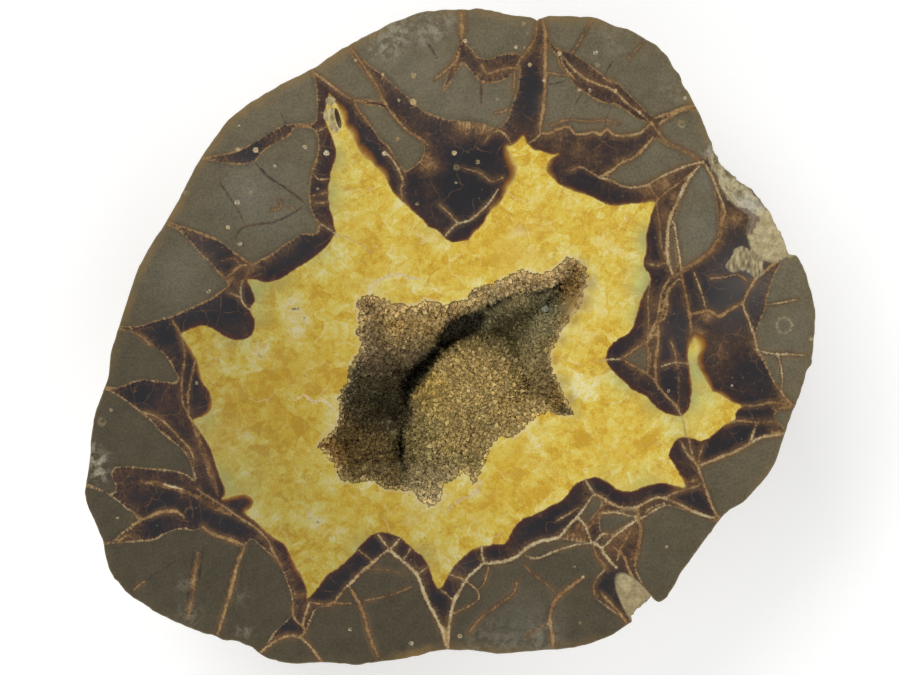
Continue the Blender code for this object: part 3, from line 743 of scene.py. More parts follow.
# Finer seams: half the width in millimetres, how pale from 0 dark brown by 0.5 tan to 1 cream.
SEAMS = (
    (0.5, 0.5, ((3.2, 85.3), (3.2, 80), (3.2, 76.2))),
    (0.35, 0.55, ((2.7, 75), (1.5, 71.5), (-1, 69.3), (-4, 66.8))),
    (0.3, 0.35, ((2.6, 73.2), (1.3, 69.5), (0.6, 67.8))),
    (0.5, 0.1, ((7.9, 67.5), (8.3, 64), (8.1, 60.4))),
    (0.35, 0.5, ((8.3, 71), (9.8, 68.6), (12.5, 69.2), (15.5, 70), (17.8, 69.8))),
    (0.3, 0.5, ((17, 69.5), (16.8, 66.5), (16.6, 64))),
    (0.45, 0.6, ((11.7, 58.3), (13.3, 58.5), (14.9, 59))),
    (0.25, 0.05, ((-8, 78), (-5.5, 76), (-3.3, 72.5))),
    (0.45, 0.5, ((22.9, 82.3), (22.3, 78), (21, 75.4), (18.6, 72.4), (17.4, 70))),
    (0.55, 0.55, ((24, 82.9), (24.9, 79), (25, 76), (24.8, 70), (24.7, 64), (24.2, 58), (23.5, 54.5),
     (23.7, 52.9))),
    (0.5, 0.6, ((23.7, 52.9), (26, 53), (29, 54.3), (31.3, 54.6), (32.5, 52.8), (36, 53), (38, 53.3),
     (39.3, 52.6), (41, 54), (42.5, 52.6), (45, 52.3), (49, 52.8), (51.3, 54.4), (52.4, 56))),
    (0.22, 0.6, ((23.7, 53), (22, 51.2), (20, 50.2))),
    (0.25, 0.45, ((26, 54.8), (29, 56), (32, 56.5), (36, 56), (41, 56.3), (44, 55.4))),
    (0.35, 0.65, ((28.8, 74), (31, 71), (33.8, 68.3), (36, 66.8), (38.5, 65.8), (41, 64.9), (43, 63.9),
     (45, 62), (46.8, 60.2), (49.3, 58.5), (51.5, 56.5))),
    (0.3, 0.55, ((29, 73), (29.5, 70.8), (31.3, 68.5), (32.8, 66.8))),
    (0.3, 0.6, ((40, 67.3), (42.6, 66))),
    (0.22, 0.5, ((37.5, 82.9), (35.5, 79.8), (33.5, 76.3), (31.7, 73.6))),
    (0.15, 0.4, ((51, 77.4), (48.5, 74.6), (46.5, 72.3))),
    (0.18, 0.05, ((42.5, 72), (40.5, 68.3))),
    (0.15, 0.1, ((34.8, 64), (32.8, 60.5))),
    (0.15, 0.1, ((42, 60.2), (41, 57), (40.5, 55.5))),
    (0.18, 0.5, ((25.2, 68.8), (28, 68.3), (31, 68))),
    (0.15, 0.05, ((25, 65.6), (28, 66), (30.8, 67))),
    (0.45, 0.6, ((53.3, 57), (56, 57.8), (59, 58.9), (62, 59.9), (64.6, 60.2))),
    (0.4, 0.55, ((54.4, 53.2), (54.6, 55.3), (57, 57), (60, 58.7), (61.8, 58.9))),
    (0.45, 0.5, ((52.6, 56.2), (53.4, 54.4), (54.6, 52.8), (56.2, 50.9), (57.6, 50.2))),
    (0.2, 0.4, ((57.6, 50.2), (60.2, 49), (63.5, 47.2), (65.5, 46))),
    (0.4, 0.6, ((39, 41.6), (42, 43.2), (44.5, 45.2), (47, 46.2), (49.5, 48), (51.5, 50.2), (53, 52))),
    (0.3, 0.5, ((38.5, 41.8), (36.5, 43), (34, 44.2), (31.5, 43.2))),
    (0.35, 0.75, ((39, 41.4), (42, 40.8), (45, 39.2), (48, 38.9), (51.5, 39.5), (53.5, 40.8),
     (57, 42.6), (60, 43.8), (63, 44.9), (66, 45.6))),
    (0.25, 0.5, ((60.4, 40.6), (62.6, 42.4), (65, 44.8))),
    (0.3, 0.5, ((54.3, 35.8), (52.6, 38), (51.8, 39.6))),
    (0.3, 0.5, ((54, 35.4), (56.5, 37.8), (60, 40.3), (63, 42.8))),
    (0.55, 0.85, ((65, 44.6), (62.6, 41.8), (60.8, 38.6), (59, 34.6), (57.4, 31), (56.8, 27),
     (56.6, 22), (57.2, 18.5), (58.3, 15.8))),
    (0.28, 0.85, ((57.6, 30.4), (58.4, 29.6), (59, 25.6), (59.8, 21), (60.2, 17.8))),
    (0.3, 0.45, ((53.6, 34.8), (54.4, 31), (54.7, 28), (55, 24), (56, 20.5))),
    (0.2, 0.6, ((51.3, 19.2), (53.5, 18.6), (56.3, 19.2))),
    (0.8, 0.42, ((70.7, 35), (70.9, 31), (70.5, 27.3), (69.2, 23.8), (66.6, 21), (63, 18.7), (60, 16.8),
     (57.8, 15.4))),
    (0.3, 0.8, ((66.2, 45.2), (68.6, 41), (70, 37.2), (71, 34.8), (71.9, 31.6))),
    (0.4, 0.42, ((60.3, 16.6), (61, 13), (62, 8.4), (62.8, 3), (63, -1.6))),
    (0.12, 0.75, ((63.6, 16.8), (65.5, 11.6), (66.8, 7))),
    (0.12, 0.7, ((68, 15.2), (71.5, 15.6), (75, 16.2), (77.5, 14.4))),
    (0.45, 0.5, ((62, 5.6), (65, 6.4), (67.5, 6.8), (70, 5.4), (72.8, 7), (76.3, 9))),
    (0.45, 0.6, ((76.4, 8.6), (77.2, 11), (78.6, 13.4), (80, 15.6), (83, 18), (86, 20.5),
     (88.6, 22.2))),
    (0.25, 0.85, ((76.3, 9), (76.8, 6.8), (78.2, 3.4), (79.3, 0), (80, -3))),
    (0.35, 0.55, ((57.6, 15.6), (55.4, 12.2), (54.6, 8), (54, 5), (53, 2.4), (51.6, -0.4))),
    (0.3, 0.55, ((59.6, 15), (57.2, 12.4), (56, 9), (55.2, 6), (54, 4.2))),
    (0.25, 0.6, ((56.6, 12), (56.6, 8), (56, 5), (53.6, 3.4))),
    (0.2, 0.5, ((52, 14), (51.6, 9), (51.8, 4), (51.4, 0), (51.6, -4.6), (51.7, -9))),
    (0.45, 0.55, ((54.3, 3), (54.2, -2), (53.6, -6), (53.7, -10.6), (54.4, -13.6))),
    (0.3, 0.5, ((44.8, -5.6), (47.4, -3.8), (50.6, -1.6), (54.2, 1.2))),
    (0.25, 0.5, ((44.8, -5.8), (48, -7.6), (51.4, -9.6), (54, -12))),
    (0.14, 0.8, ((38, -6.2), (41, -5.9), (44.8, -5.7))),
    (0.14, 0.85, ((55, -7.7), (58.5, -6.7), (64.5, -7.3))),
    (0.35, 0.25, ((59.6, -8), (59.7, -14), (59.6, -18.6))),
    (0.2, 0.6, ((53.4, -11.4), (56, -15), (58.5, -17.5), (60.3, -20.6), (61.2, -24), (61.4, -26))),
    (0.2, 0.6, ((57.5, -1), (58.6, -4), (59.3, -8))),
    (0.35, 0.45, ((71.6, -22.8), (75, -21.8), (80, -22.2), (84, -22))),
    (0.3, 0.5, ((83.8, -24.4), (87.5, -25))),
    (0.3, 0.45, ((76.2, -17.8), (80, -17.8), (84, -17), (89.4, -18))),
    (0.3, 0.6, ((85, -12.4), (87, -15.4), (89.4, -17.8))),
    (0.8, 0.5, ((85.6, -18.6), (89.3, -18.1))),
    (0.18, 0.85, ((79.8, -22.6), (79, -25), (77.6, -28))),
    (0.2, 0.85, ((79.5, -3.4), (84, -4.3), (88, -4.5), (93, -4.8))),
    (0.15, 0.8, ((85.5, -5), (86.4, -9), (86.4, -14.6))),
    (0.15, 0.75, ((82.4, 8.4), (86, 8.9), (90.6, 9.8))),
    (0.45, 0.8, ((64.4, -33.4), (68, -32.3), (71, -31), (74.5, -29.7), (77.5, -28), (80, -26.5),
     (83, -25.7), (87.6, -25))),
    (0.35, 0.7, ((60, -27), (62, -30.6), (64.4, -33.4), (66, -37.8), (67.5, -42), (69, -45.3),
     (70.6, -47.7))),
    (0.2, 0.6, ((62.3, -26.6), (63, -30), (64.2, -33))),
    (0.2, 0.5, ((66, -28), (65, -31), (64.6, -33))),
    (0.6, 0.35, ((61.4, -38.2), (64, -37.2), (66, -39))),
    (0.3, 0.6, ((56, -42), (58.5, -40.5), (61.5, -39.6), (65, -38.6))),
    (0.35, 0.75, ((38, -40.8), (41, -42.6), (44, -44.2), (48.5, -44.3), (51, -43), (53.5, -41.9),
     (56, -42), (60, -43.6), (64, -45.6), (70, -47.6))),
    (0.22, 0.85, ((39, -46), (43, -45.6), (50, -46.9), (53, -45.2), (56, -43.6))),
    (0.5, 0.9, ((35.4, -37), (36.4, -39), (37.6, -40.8))),
    (0.4, 0.9, ((37.6, -40.8), (35.3, -44), (33.2, -46.8), (31, -49), (29, -51.8))),
    (0.25, 0.8, ((33.2, -46.8), (35, -48.6), (36, -51), (37, -53.4))),
    (0.25, 0.7, ((28.2, -47.6), (31, -46), (33.4, -44.4))),
    (0.7, 0.38, ((41, -43.2), (38.6, -46), (36.6, -49.4))),
    (0.7, 0.45, ((49, -44.6), (49.2, -47.6), (49.8, -50.4), (49, -55), (48.2, -59.6))),
    (0.35, 0.85, ((48.6, -47.6), (46, -49.4), (43, -51.6), (40.2, -54.6))),
    (0.4, 0.8, ((37.6, -53.6), (39.8, -51.4), (42.4, -51.2))),
    (0.6, 0.9, ((36.8, -53.2), (38.8, -54.2), (41, -57.4), (43.4, -60))),
    (0.35, 0.5, ((37.4, -54.6), (38.6, -57.4), (41.2, -60.4))),
    (0.5, 0.45, ((43.6, -58), (45, -54), (47, -50.6))),
    (0.4, 0.5, ((42.6, -54.6), (45.4, -57), (46.6, -60.6), (48.4, -63.6), (51.8, -67))),
    (0.35, 0.55, ((39.4, -66.6), (42, -69.4), (44.6, -72.2), (46.3, -74.6))),
    (0.3, 0.4, ((38.5, -62.6), (37.4, -65.4), (38.6, -67.6))),
    (0.18, 0.85, ((20, -57), (22.5, -57.6), (27, -55.9), (33, -54), (37.5, -53.6))),
    (0.2, 0.4, ((19.5, -59.5), (21.5, -61.5), (25, -64), (27.6, -66.6))),
    (0.6, 0.5, ((27, -81.3), (26.8, -78), (26.2, -74.5), (26.4, -71), (28, -68), (30.5, -65.6),
     (33, -63.8), (34.8, -62.4))),
    (0.12, 0.45, ((26, -74), (22.6, -76.2), (20, -78))),
    (0.28, 0.45, ((5, -77), (8, -73.2), (12, -70.2), (15, -68), (16.7, -66.5), (17.6, -63.4))),
    (0.16, 0.6, ((5, -64), (7.3, -66), (7.6, -68), (5, -70), (1, -72))),
    (0.13, 0.6, ((10.2, -60), (9, -64), (7.3, -66))),
    (0.5, 0.9, ((-16, -55.2), (-12, -58.4), (-8.6, -61.6), (-7.4, -64.5), (-6, -68), (-4, -72),
     (-2.2, -75.6), (-0.8, -80), (-0.5, -81.6))),
    (0.45, 0.9, ((-0.5, -81.6), (0, -75), (0.6, -71), (1.4, -68.3), (3.2, -65), (4.7, -62.6),
     (7, -60.5), (9, -58.8))),
    (0.75, 0.7, ((-1.5, -75.4), (-0.8, -78), (-0.5, -81))),
    (0.5, 0.9, ((9, -58.8), (12, -58.7), (16, -57.8), (18.5, -56.4), (20, -54.9), (23, -53.3),
     (26, -52.7), (28.6, -52), (30, -50.4))),
    (0.4, 0.9, ((9, -58.8), (8.4, -56), (8.4, -54.4))),
    (0.25, 0.8, ((3.8, -63), (2, -62.4), (0, -61.8))),
    (0.2, 0.7, ((0.8, -68.6), (-0.8, -66.8), (-2.4, -65.6))),
    (0.2, 0.8, ((-7.8, -61.4), (-6, -60), (-5.2, -59.6))),
    (0.15, 0.7, ((-12, -57.8), (-10.6, -56), (-10, -54.8))),
    (0.4, 0.8, ((-15.6, -55.2), (-18.5, -57.2), (-20.6, -59.4), (-23, -61), (-25, -63.4), (-27, -65))),
    (0.25, 0.85, ((-15.6, -55.2), (-17, -53.4), (-18.6, -51.4))),
    (0.35, 0.9, ((-15.4, -55.2), (-13.6, -53.2), (-12.6, -52))),
    (0.15, 0.6, ((-19.6, -58.6), (-21.6, -57), (-23.6, -55.4))),
    (0.3, 0.55, ((-27, -65), (-29.4, -68.2), (-32, -70))),
    (0.45, 0.5, ((-26, -65), (-24, -68.5), (-22.3, -72), (-21.3, -76), (-20.3, -79), (-18.7, -83))),
    (0.2, 0.6, ((-36, -69), (-33, -69.5), (-29.5, -69.3), (-25.6, -69.2))),
    (0.12, 0.5, ((-22, -68.5), (-15, -67), (-10, -65))),
    (0.12, 0.35, ((-21, -60.4), (-16, -60.6), (-11.6, -61.6))),
    (0.35, 0.65, ((-36.5, -69), (-37.4, -72), (-38.2, -75), (-37.4, -76.6), (-39, -78), (-41.5, -77.6),
     (-44, -78.4), (-47, -80.2), (-49.6, -82.4))),
    (0.3, 0.75, ((-39, -78), (-37, -79.6), (-35, -82), (-33.2, -84.6))),
    (0.25, 0.6, ((-38, -75.4), (-40.4, -73), (-40.8, -70))),
    (0.25, 0.4, ((-37.2, -66.4), (-39, -67), (-40.8, -66.6))),
    (0.5, 0.55, ((-53.2, -54.4), (-55.2, -59.5), (-56.6, -65), (-58.3, -71), (-60.4, -77.6))),
    (0.25, 0.1, ((-54.6, -55), (-56.6, -61), (-58.2, -66.4))),
    (0.5, 0.4, ((-65.4, -56), (-66.2, -62), (-67.2, -69), (-67.8, -72.5))),
    (0.3, 0.05, ((-66.6, -56), (-67.4, -62), (-68, -68))),
    (0.45, 0.08, ((-63.8, -54.4), (-64.6, -59), (-65.2, -64))),
    (0.22, 0.55, ((-82, -65.8), (-80.6, -64.4), (-79.4, -63.6))),
    (0.18, 0.05, ((-79.4, -63.6), (-75, -60.6), (-72, -58.8))),
    (0.5, 0.55, ((-80.3, -47.8), (-77.5, -46.4), (-75, -45.5), (-72.5, -45.2), (-70.5, -45.6),
     (-69, -46.9))),
    (0.8, 0.5, ((-81.8, -46.3), (-80.6, -47.8), (-82.4, -48.8))),
    (0.5, 0.58, ((-64.4, -49.2), (-62, -51), (-58, -52.4), (-53.8, -53.9))),
    (0.4, 0.45, ((-86, -53.2), (-83.8, -51.6), (-81.6, -52.6))),
    (0.6, 0.95, ((-76.6, -37.9), (-74, -38.5), (-71, -39.3))),
    (0.9, 0.33, ((-80, -37.6), (-76, -38.2), (-71, -39.6), (-66, -41.4), (-61.5, -44), (-57, -46.4))),
    (0.25, 0.6, ((-65.6, -39.6), (-62.4, -41.8), (-59, -43.8), (-54.5, -47), (-50.4, -49.6),
     (-47.4, -52.6), (-45.8, -56), (-43.6, -59.6))),
    (0.9, 0.36, ((-66.9, -22), (-65, -27), (-63.2, -32), (-61.6, -37), (-60.2, -41.4))),
    (0.2, 0.6, ((-79.6, -19.6), (-76.5, -20.6), (-73, -23.2), (-70.4, -26), (-67.5, -29.2),
     (-66.4, -32))),
    (0.35, 0.45, ((-72, 4.2), (-70.6, 1.8), (-69.5, -0.2), (-68.8, -5), (-69.5, -10), (-69.7, -15),
     (-69, -18), (-66.9, -22))),
    (0.25, 0.5, ((-66, -6), (-67.2, -11), (-68, -16), (-67.6, -20))),
    (0.2, 0.55, ((-81.6, 1.2), (-79.6, -0.4), (-77.6, -2.2))),
    (0.3, 0.5, ((-58.4, 15.2), (-56.4, 16.8), (-54.4, 18.4), (-51.4, 18.8))),
    (0.3, 0.4, ((-51.3, 18.8), (-52.4, 16.6), (-53.2, 15.1), (-55.4, 14.2))),
    (0.13, 0.85, ((-53.8, 14.6), (-54.3, 12), (-54, 9.5), (-52.5, 7.5), (-50.8, 6.6))),
    (0.1, 0.7, ((-57.5, 11.6), (-54.2, 10.3))),
    (0.12, 0.45, ((-59, 19.8), (-56, 20.4), (-54.6, 19))),
    (0.45, 0.08, ((-50.2, 45), (-47, 41.6), (-43.6, 39.4), (-40, 36.8), (-37.4, 34.6))),
    (0.3, 0.06, ((-56, 25.4), (-54, 28.2), (-50.6, 29.2), (-46, 29.8), (-42, 31.4), (-38.6, 33.6))),
    (0.18, 0.04, ((-59.8, 40.4), (-57, 36), (-54.6, 32.2), (-53.4, 29.6))),
    (0.22, 0.45, ((-46.4, 33.1), (-44.4, 33.3), (-43.7, 34.6), (-44.6, 35.7))),
    (0.25, 0.55, ((-41, 33.8), (-40.2, 32.9))),
    (0.15, 0.06, ((-44, 58.4), (-42.5, 55.6))),
    (0.35, 0.55, ((-35.6, 69), (-31.5, 66), (-28, 63.3), (-25.6, 61.8))),
    (0.7, 0.5, ((-24.8, 61.5), (-23, 61.3), (-21.6, 60.9))),
    (0.5, 0.12, ((-21, 60.9), (-18.6, 60.7), (-16.6, 60.3))),
    (0.3, 0.5, ((-24.6, 60.6), (-22.8, 57.8), (-21.2, 55.8))),
    (0.4, 0.5, ((-26, 75.8), (-23, 71.4), (-20.4, 67.6), (-18.4, 64.4), (-17, 61.2), (-15, 58.2),
     (-13, 55.8), (-10.8, 53.6), (-8, 51.8), (-5.6, 50))),
    (0.3, 0.75, ((-16.8, 48.2), (-14.6, 45.8), (-12.6, 42), (-11.8, 39.6))),
    (0.14, 0.6, ((-12.4, 40), (-12.6, 37.6), (-12, 35.4))),
    (0.45, 1, ((-21.6, 11.4), (-20.4, 13), (-18, 14.9), (-15.1, 16.1), (-12.2, 16.4), (-10.6, 15.4),
     (-7.4, 15.2))),
    (0.5, 0.95, ((-40, -16.6), (-37.8, -15.2), (-35.4, -17), (-33.4, -16.4), (-31, -17.6), (-29.3, -20),
     (-29.6, -22.6), (-31.6, -23.9), (-33.6, -26.2))),
    (0.4, 0.9, ((-1, -46), (1, -43.6), (3.6, -42), (7, -40.6), (8.2, -37))),
    (0.2, 0.7, ((-35.6, 42.6), (-34, 41), (-31, 41.2))),
    (0.25, 0.45, ((-35.4, 36.8), (-33, 37.4), (-31.2, 37.6))),
    (0.16, 0.6, ((-35, 34.8), (-31.4, 35))),
    (0.22, 0.6, ((-33.8, 53.6), (-32.6, 54.4), (-31.6, 54.6))),
    (0.2, 0.7, ((-33.4, 29.3), (-31.6, 28.2), (-29.6, 26.8), (-26.5, 25.8), (-22, 23.4),
     (-20.4, 21.6))),
    (0.22, 0.85, ((-1.3, 26), (0.6, 28.2), (2.2, 29.4), (5.4, 30.4), (8, 32.6), (10.4, 35),
     (12.6, 38.4))),
    (0.14, 0.7, ((2.2, 29.4), (0.4, 31.6), (-2.6, 34.4))),
    (0.12, 0.6, ((3.4, 44), (8, 42.6), (11, 40.4), (14, 41.4))),
    (0.14, 0.55, ((-31.8, 58), (-33.6, 58.4))),
    (0.25, 0.7, ((12.8, 54), (14.6, 52.4), (16, 50.2))),
    (0.2, 0.6, ((12.6, 54), (10.6, 52.4), (9.2, 50.6))),
    (0.75, 1, ((-77.2, -37.9), (-73.6, -38.8), (-69.8, -39.5))),
)

# Cream spots where grains were plucked out and filled: place and radius; a dark heart makes a ring.
SPOTS = (
    (-55, 48.7, 0.6), (-50.4, 48.6, 0.75), (-37.6, 49.4, 0.55), (-45.5, 44.3, 0.45),
    (-54.7, 54.9, 0.25), (-55.2, 35, 0.65), (-51.8, 37.7, 0.5), (-57.6, 28.5, 0.55),
    (-54.5, 24.3, 0.55), (-62.6, 11.9, 0.5), (-74.3, 4.8, 0.3), (-32, 47.8, 0.75), (-34.3, 38.5, 0.3),
    (-17, 47.7, 0.55), (-13.5, 51.5, 0.45), (-13.2, 61.6, 0.42), (-9.4, 68, 0.7), (-9.4, 61.1, 0.85),
    (-24.3, 71.9, 0.4), (-17.4, 68.3, 0.45), (4.1, 77, 0.55), (17.2, 75.4, 0.5), (19.2, 81.5, 0.55),
    (20.3, 79, 0.3), (19.5, 75.2, 0.4), (20.9, 70.8, 0.5), (12.3, 61.8, 0.35), (1.2, 47.8, 0.65),
    (7.3, 45.5, 0.55), (1.7, 40.1, 0.3), (-8.4, 34.6, 0.4), (24.6, 66.7, 0.5), (28.6, 73.8, 0.65),
    (38, 73.9, 0.6), (49.6, 58.5, 0.45), (43.2, 64, 0.5), (36.5, 64.2, 0.5), (33.7, 64.2, 0.5),
    (-65.7, -11.9, 0.38), (-88, -18.9, 0.4), (34.7, -62.4, 0.4), (34, -74.4, 0.35), (57, -14, 0.4),
    (73.5, -12.7, 0.35), (2.7, -77.8, 0.55), (-25.8, -76, 0.45), (-10, -79.7, 0.6), (56.4, -54.5, 0.4),
    (94, -0.5, 0.5), (61.2, 62.2, 0.5), (32.4, -59.8, 0.35), (-86.3, -47.1, 0.3),
)
RINGS = (
    (1.8, 44.1, 0.75), (-90.3, -22, 1.1), (60.4, 55.3, 1), (38.4, 70.7, 0.65), (87, 3, 2.2),
    (-68.4, 37.5, 0.6),
)

# Where the stone's colours change: place, how far it reaches and how strong it is.
AMBER_PLACES = (
    (16.4, 45.4, 5, 1.1), (15.5, 40, 4, 0.9), (12, 34.6, 3, 0.6), (-21, 48, 3.5, 1), (-25, 53, 3.5, 1),
    (-17, 43, 3, 0.7), (-27.5, 58, 3, 0.9), (-54.5, -43, 4.2, 0.55), (-67, -3, 3.5, 0.5),
    (-65, -9, 3, 0.4), (65.2, -1.6, 3, 1.4), (66, -6, 4, 0.7), (66, -11, 4, 0.6), (26.5, 44, 3.2, 0.6),
    (-62, -18, 3, 0.4), (32, 39, 3, 0.3), (43, 34.5, 4, 0.2), (53, 36, 3, 0.4), (-47, -52, 3, 0.4),
    (-41, -60, 4, 0.4), (71, -15.6, 3, 0.5), (61, -38.5, 3, 0.4), (6, 27, 3, 0.2), (-12, 35.6, 3, 0.3),
    (49, 8, 4, 0.1), (8, -55, 2, 0.4),
)
OCHRE_PLACES = (
    (4, 54.4, 3.6, 1.4), (8.6, 53.6, 3, 1.5), (20.5, 52.8, 4, 0.8), (24, 50.5, 3, 0.7),
    (29, 51.4, 3.4, 0.9), (28, 49, 3, 0.9), (33, 48.4, 3.6, 1), (37.5, 46.4, 3.4, 0.9),
    (43, 47.4, 3, 0.5), (40, 43.6, 2.5, 0.5), (56, 38.6, 4, 1.3), (58.5, 36, 3, 1.3),
    (52.6, 38, 3, 0.9), (55.8, 32, 3, 1.5), (-4.8, 44.4, 3.2, 1.5), (-4.4, 38.6, 3, 1),
    (-53.6, 16.8, 3, 0.7), (-56.6, 14.6, 2.4, 0.7), (-73, -16.6, 5, 0.35), (-69.4, -20.4, 4, 0.4),
    (-66.6, -25, 3, 0.45), (-68, -41, 4, 0.4), (-62, -43.6, 4, 0.4), (-76, -38.6, 4, 0.3),
    (67, 5.8, 2.6, 2.3), (64.4, 1.2, 2.8, 1.7), (69, -1.6, 4, 0.7), (71, -5, 4, 0.5), (76, 0, 4, 0.4),
    (79.6, 14.6, 3, 0.5), (54, 2.4, 3.4, 1.2), (53, 9, 3, 0.9), (70.6, 24.6, 3, 0.5),
    (74.6, 31, 3, 1.5), (72, 29.6, 3, 0.8), (62, 10, 3, 0.35), (47, -51, 4, 0.8), (44.6, -56, 4, 0.8),
    (48.8, -57.4, 3, 0.8), (38.6, -46.6, 3, 0.8), (33, -50.6, 4, 0.7), (49.2, -46, 2.5, 0.7),
    (-81, -47.6, 2.4, 0.4), (8, -56.4, 2.2, 0.9), (1.4, -63, 3, 0.35), (16.4, -56.4, 3, 0.5),
    (11.6, 69.6, 4, 0.5), (6.4, 74, 2.4, 0.5), (0.4, 70.4, 2.4, 0.6), (23.6, 74, 2, 0.5),
    (35.6, 66.8, 2.6, 0.6), (62.6, -32.6, 3, 0.4), (61.4, -37.4, 3, 0.5), (88, -17, 3.2, 1.5),
    (84.6, -23, 2.6, 0.5), (-40.6, -62.6, 3, 0.4), (-38.6, -68, 2.6, 0.5), (-32, -70, 3, 0.4),
    (-43, 22.4, 3, 0.4), (-47, 19.6, 3, 0.3),
)
DARK_PLACES = (
    (-68.8, -14, 4, 0.6), (2, 38, 9, 1), (5, 46, 7, 0.9), (-22, 55, 4, 0.9), (-20, 50, 4, 0.9),
    (20.6, 66, 5, 1), (20.6, 60, 5, 0.8), (-33.4, 36, 4, 0.7), (-38, 23, 5, 0.8), (-42, 19, 5, 0.7),
    (-46, 16.6, 4, 0.7), (-58, 8, 6, 0.8), (-52.6, 11.4, 3, 0.9), (-66, 5, 6, 1), (-74, 1, 6, 1),
    (-68, -9, 3, 0.8), (-80, -15, 5, 0.9), (-75, -42.6, 5, 0.7), (-66, -45.6, 5, 0.6),
    (-76, -49, 4, 0.7), (-57, -49, 5, 0.9), (-62, -47.6, 4, 0.8), (-62.4, -29, 3, 0.6),
    (-25, -58.6, 5, 0.9), (-30, -64, 5, 0.9), (-33.6, -67, 3, 0.9), (-17.6, -53, 4, 0.7),
    (-3, -68, 4, 0.7), (6, -58, 3, 0.7), (12, -56.4, 3, 0.8), (22, -49.6, 4, 0.8), (27, -46.4, 4, 0.9),
    (41, -40.4, 4, 0.8), (54, -40, 3, 0.5), (63, -43, 4, 0.6), (78, -19.6, 4, 0.9), (77, -25.6, 4, 1),
    (70, -27, 4, 0.6), (45, -2, 4, 0.7), (58, -3, 4, 0.8), (58, -11, 4, 0.5), (60, 3, 4, 0.9),
    (54, 24, 4, 0.5), (69, 11.6, 6, 1), (75, 13, 5, 1), (80.6, 7.6, 3, 0.9), (76, 27, 3.4, 0.6),
    (72, 21, 4, 0.5), (80, -10, 5, 0.8), (86, -13, 3, 0.5), (41.4, -64.6, 4, 1.1), (-41, -75, 4, 0.7),
    (-50.6, 47.4, 4, 0.9), (-57, 21.6, 5, 0.6), (40.6, 49.6, 5, 0.35), (44.6, 36.6, 4, 0.3),
    (34.6, 42.4, 4, 0.5),
)
# Where a soft blue-grey reflection is painted on the polished face.
PAINTED_REFLECTION_PLACES = (
    (77, 15, 9, 0.8), (73, 8, 7, 0.5), (60, 1, 8, 0.25), (88, 0, 8, 0.3), (0, 63, 9, 0.35),
    (10, 60, 6, 0.4), (-8, 68, 7, 0.4), (-52, 37, 8, 0.8), (-46, 31, 7, 0.5), (-71, 15, 8, 0.5),
    (-66, 21, 6, 0.4), (65, 28, 6, 0.75), (67, 41, 3, 0.9), (20, -76, 9, 0.5), (30, 57, 5, 0.3),
    (3, -60, 5, 0.2), (-42, 41, 5, 0.4), (52, 45, 6, 0.25), (27, 61, 6, 0.3),
)
FROST_PLACES = (
    (-16, 76, 3.5, 0.75), (-13.6, 79, 3.5, 0.7), (-19, 74.6, 2.5, 0.5), (-7, 80.6, 3, 0.6),
    (-4, 79.4, 2.6, 0.6), (-6.6, 77.6, 2, 0.5), (-1, 82, 2.4, 0.5), (-91.6, -32, 2.4, 1.1),
    (-91, -35.6, 2, 1), (-92.6, -29, 1.6, 0.7), (24, -78, 5, 0.3), (14, -79, 5, 0.25),
    (8, -79.6, 4, 0.25), (-53.6, -76.6, 2, 0.4), (-54.4, -67.4, 2, 0.2), (67.4, 48.4, 1.6, 0.9),
    (-69, -64, 2, 0.3), (-67.6, -71.6, 3, 0.3), (43, 77, 4, 0.22), (58, 64, 4, 0.2),
)
STAIN_PLACES = (
    (-52, 59, 9, 0.9), (-62, 48, 8, 0.8), (-72, 33, 6, 0.8), (-79, 20, 7, 0.7), (-30, 73, 8, 0.9),
    (-40, 67, 8, 0.7), (-22, 78, 6, 0.6), (28, 83, 8, 0.7), (38, 82, 6, 0.5), (12, 84.6, 8, 0.6),
    (-9, -83.4, 6, 0.9), (3, -81, 5, 0.4), (66, 53, 4, 0.5), (63, 61, 3, 0.6), (-83, 8, 6, 0.6),
    (-87, -4, 5, 0.3), (12, -82, 8, 0.4), (34, -80, 6, 0.3), (0, 84.8, 5, 0.4), (82, -36, 4, 0.4),
    (84, 30, 4, 0.5),
)
CREAM_PLACES = (
    (-39.4, 3, 4, 1), (-40, 8, 3.6, 0.8), (-49, -3.6, 3.4, 0.8), (-53.6, -24.8, 1.8, 0.9),
    (-13, 16, 5, 0.5), (-20, 13, 4, 0.5), (18, 27, 4, 0.5), (43, 22, 4, 0.5), (37, 12, 5, 0.45),
    (30, 22, 5, 0.4), (20, 20, 6, 0.35), (-3, -41, 5, 0.7), (6, -40, 4, 0.5), (-10, -48, 4, 0.45),
    (4, -48, 5, 0.4), (-30.6, 51, 2.4, 0.6), (36, 0, 5, 0.4), (34, -12, 4, 0.5), (20, -24, 4, 0.3),
    (-35, -30, 4, 0.3), (-30, -20, 4, 0.3), (-22, -44, 6, 0.3), (-35.4, -47.4, 3.6, 0.8),
    (44, -28, 5, 0.3), (-28, -50, 6, 0.2), (-60, -5, 6, 0.5), (-38, -3, 6, 0.3), (-27, 20, 6, 0.2),
)
GREEN_PLACES = (
    (-52, -34, 8, 0.8), (-58, -38, 6, 0.9), (-42, -42, 8, 0.4), (64, -9, 5, 1.1), (64, -16, 5, 0.9),
    (60, -22, 5, 0.5), (51, 25, 4, 1), (50, 14, 5, 1.2), (49, 6, 4, 0.6), (-50, 12, 4, 1),
    (-48, 6, 4, 0.7), (-30, 37, 5, 0.8), (-29, 46, 4, 0.7), (-33, 22, 6, 0.4), (-44, 14, 5, 0.5),
    (-56, 1, 5, 0.5), (46, -11, 5, 0.7), (53, -17, 4, 0.6), (-24, -54, 5, 0.4), (-6, -56, 4, 0.5),
    (50, -37, 5, 0.5), (42, -34, 4, 0.3), (-63, -22, 4, 0.6), (-5, 27, 4, 0.3),
)
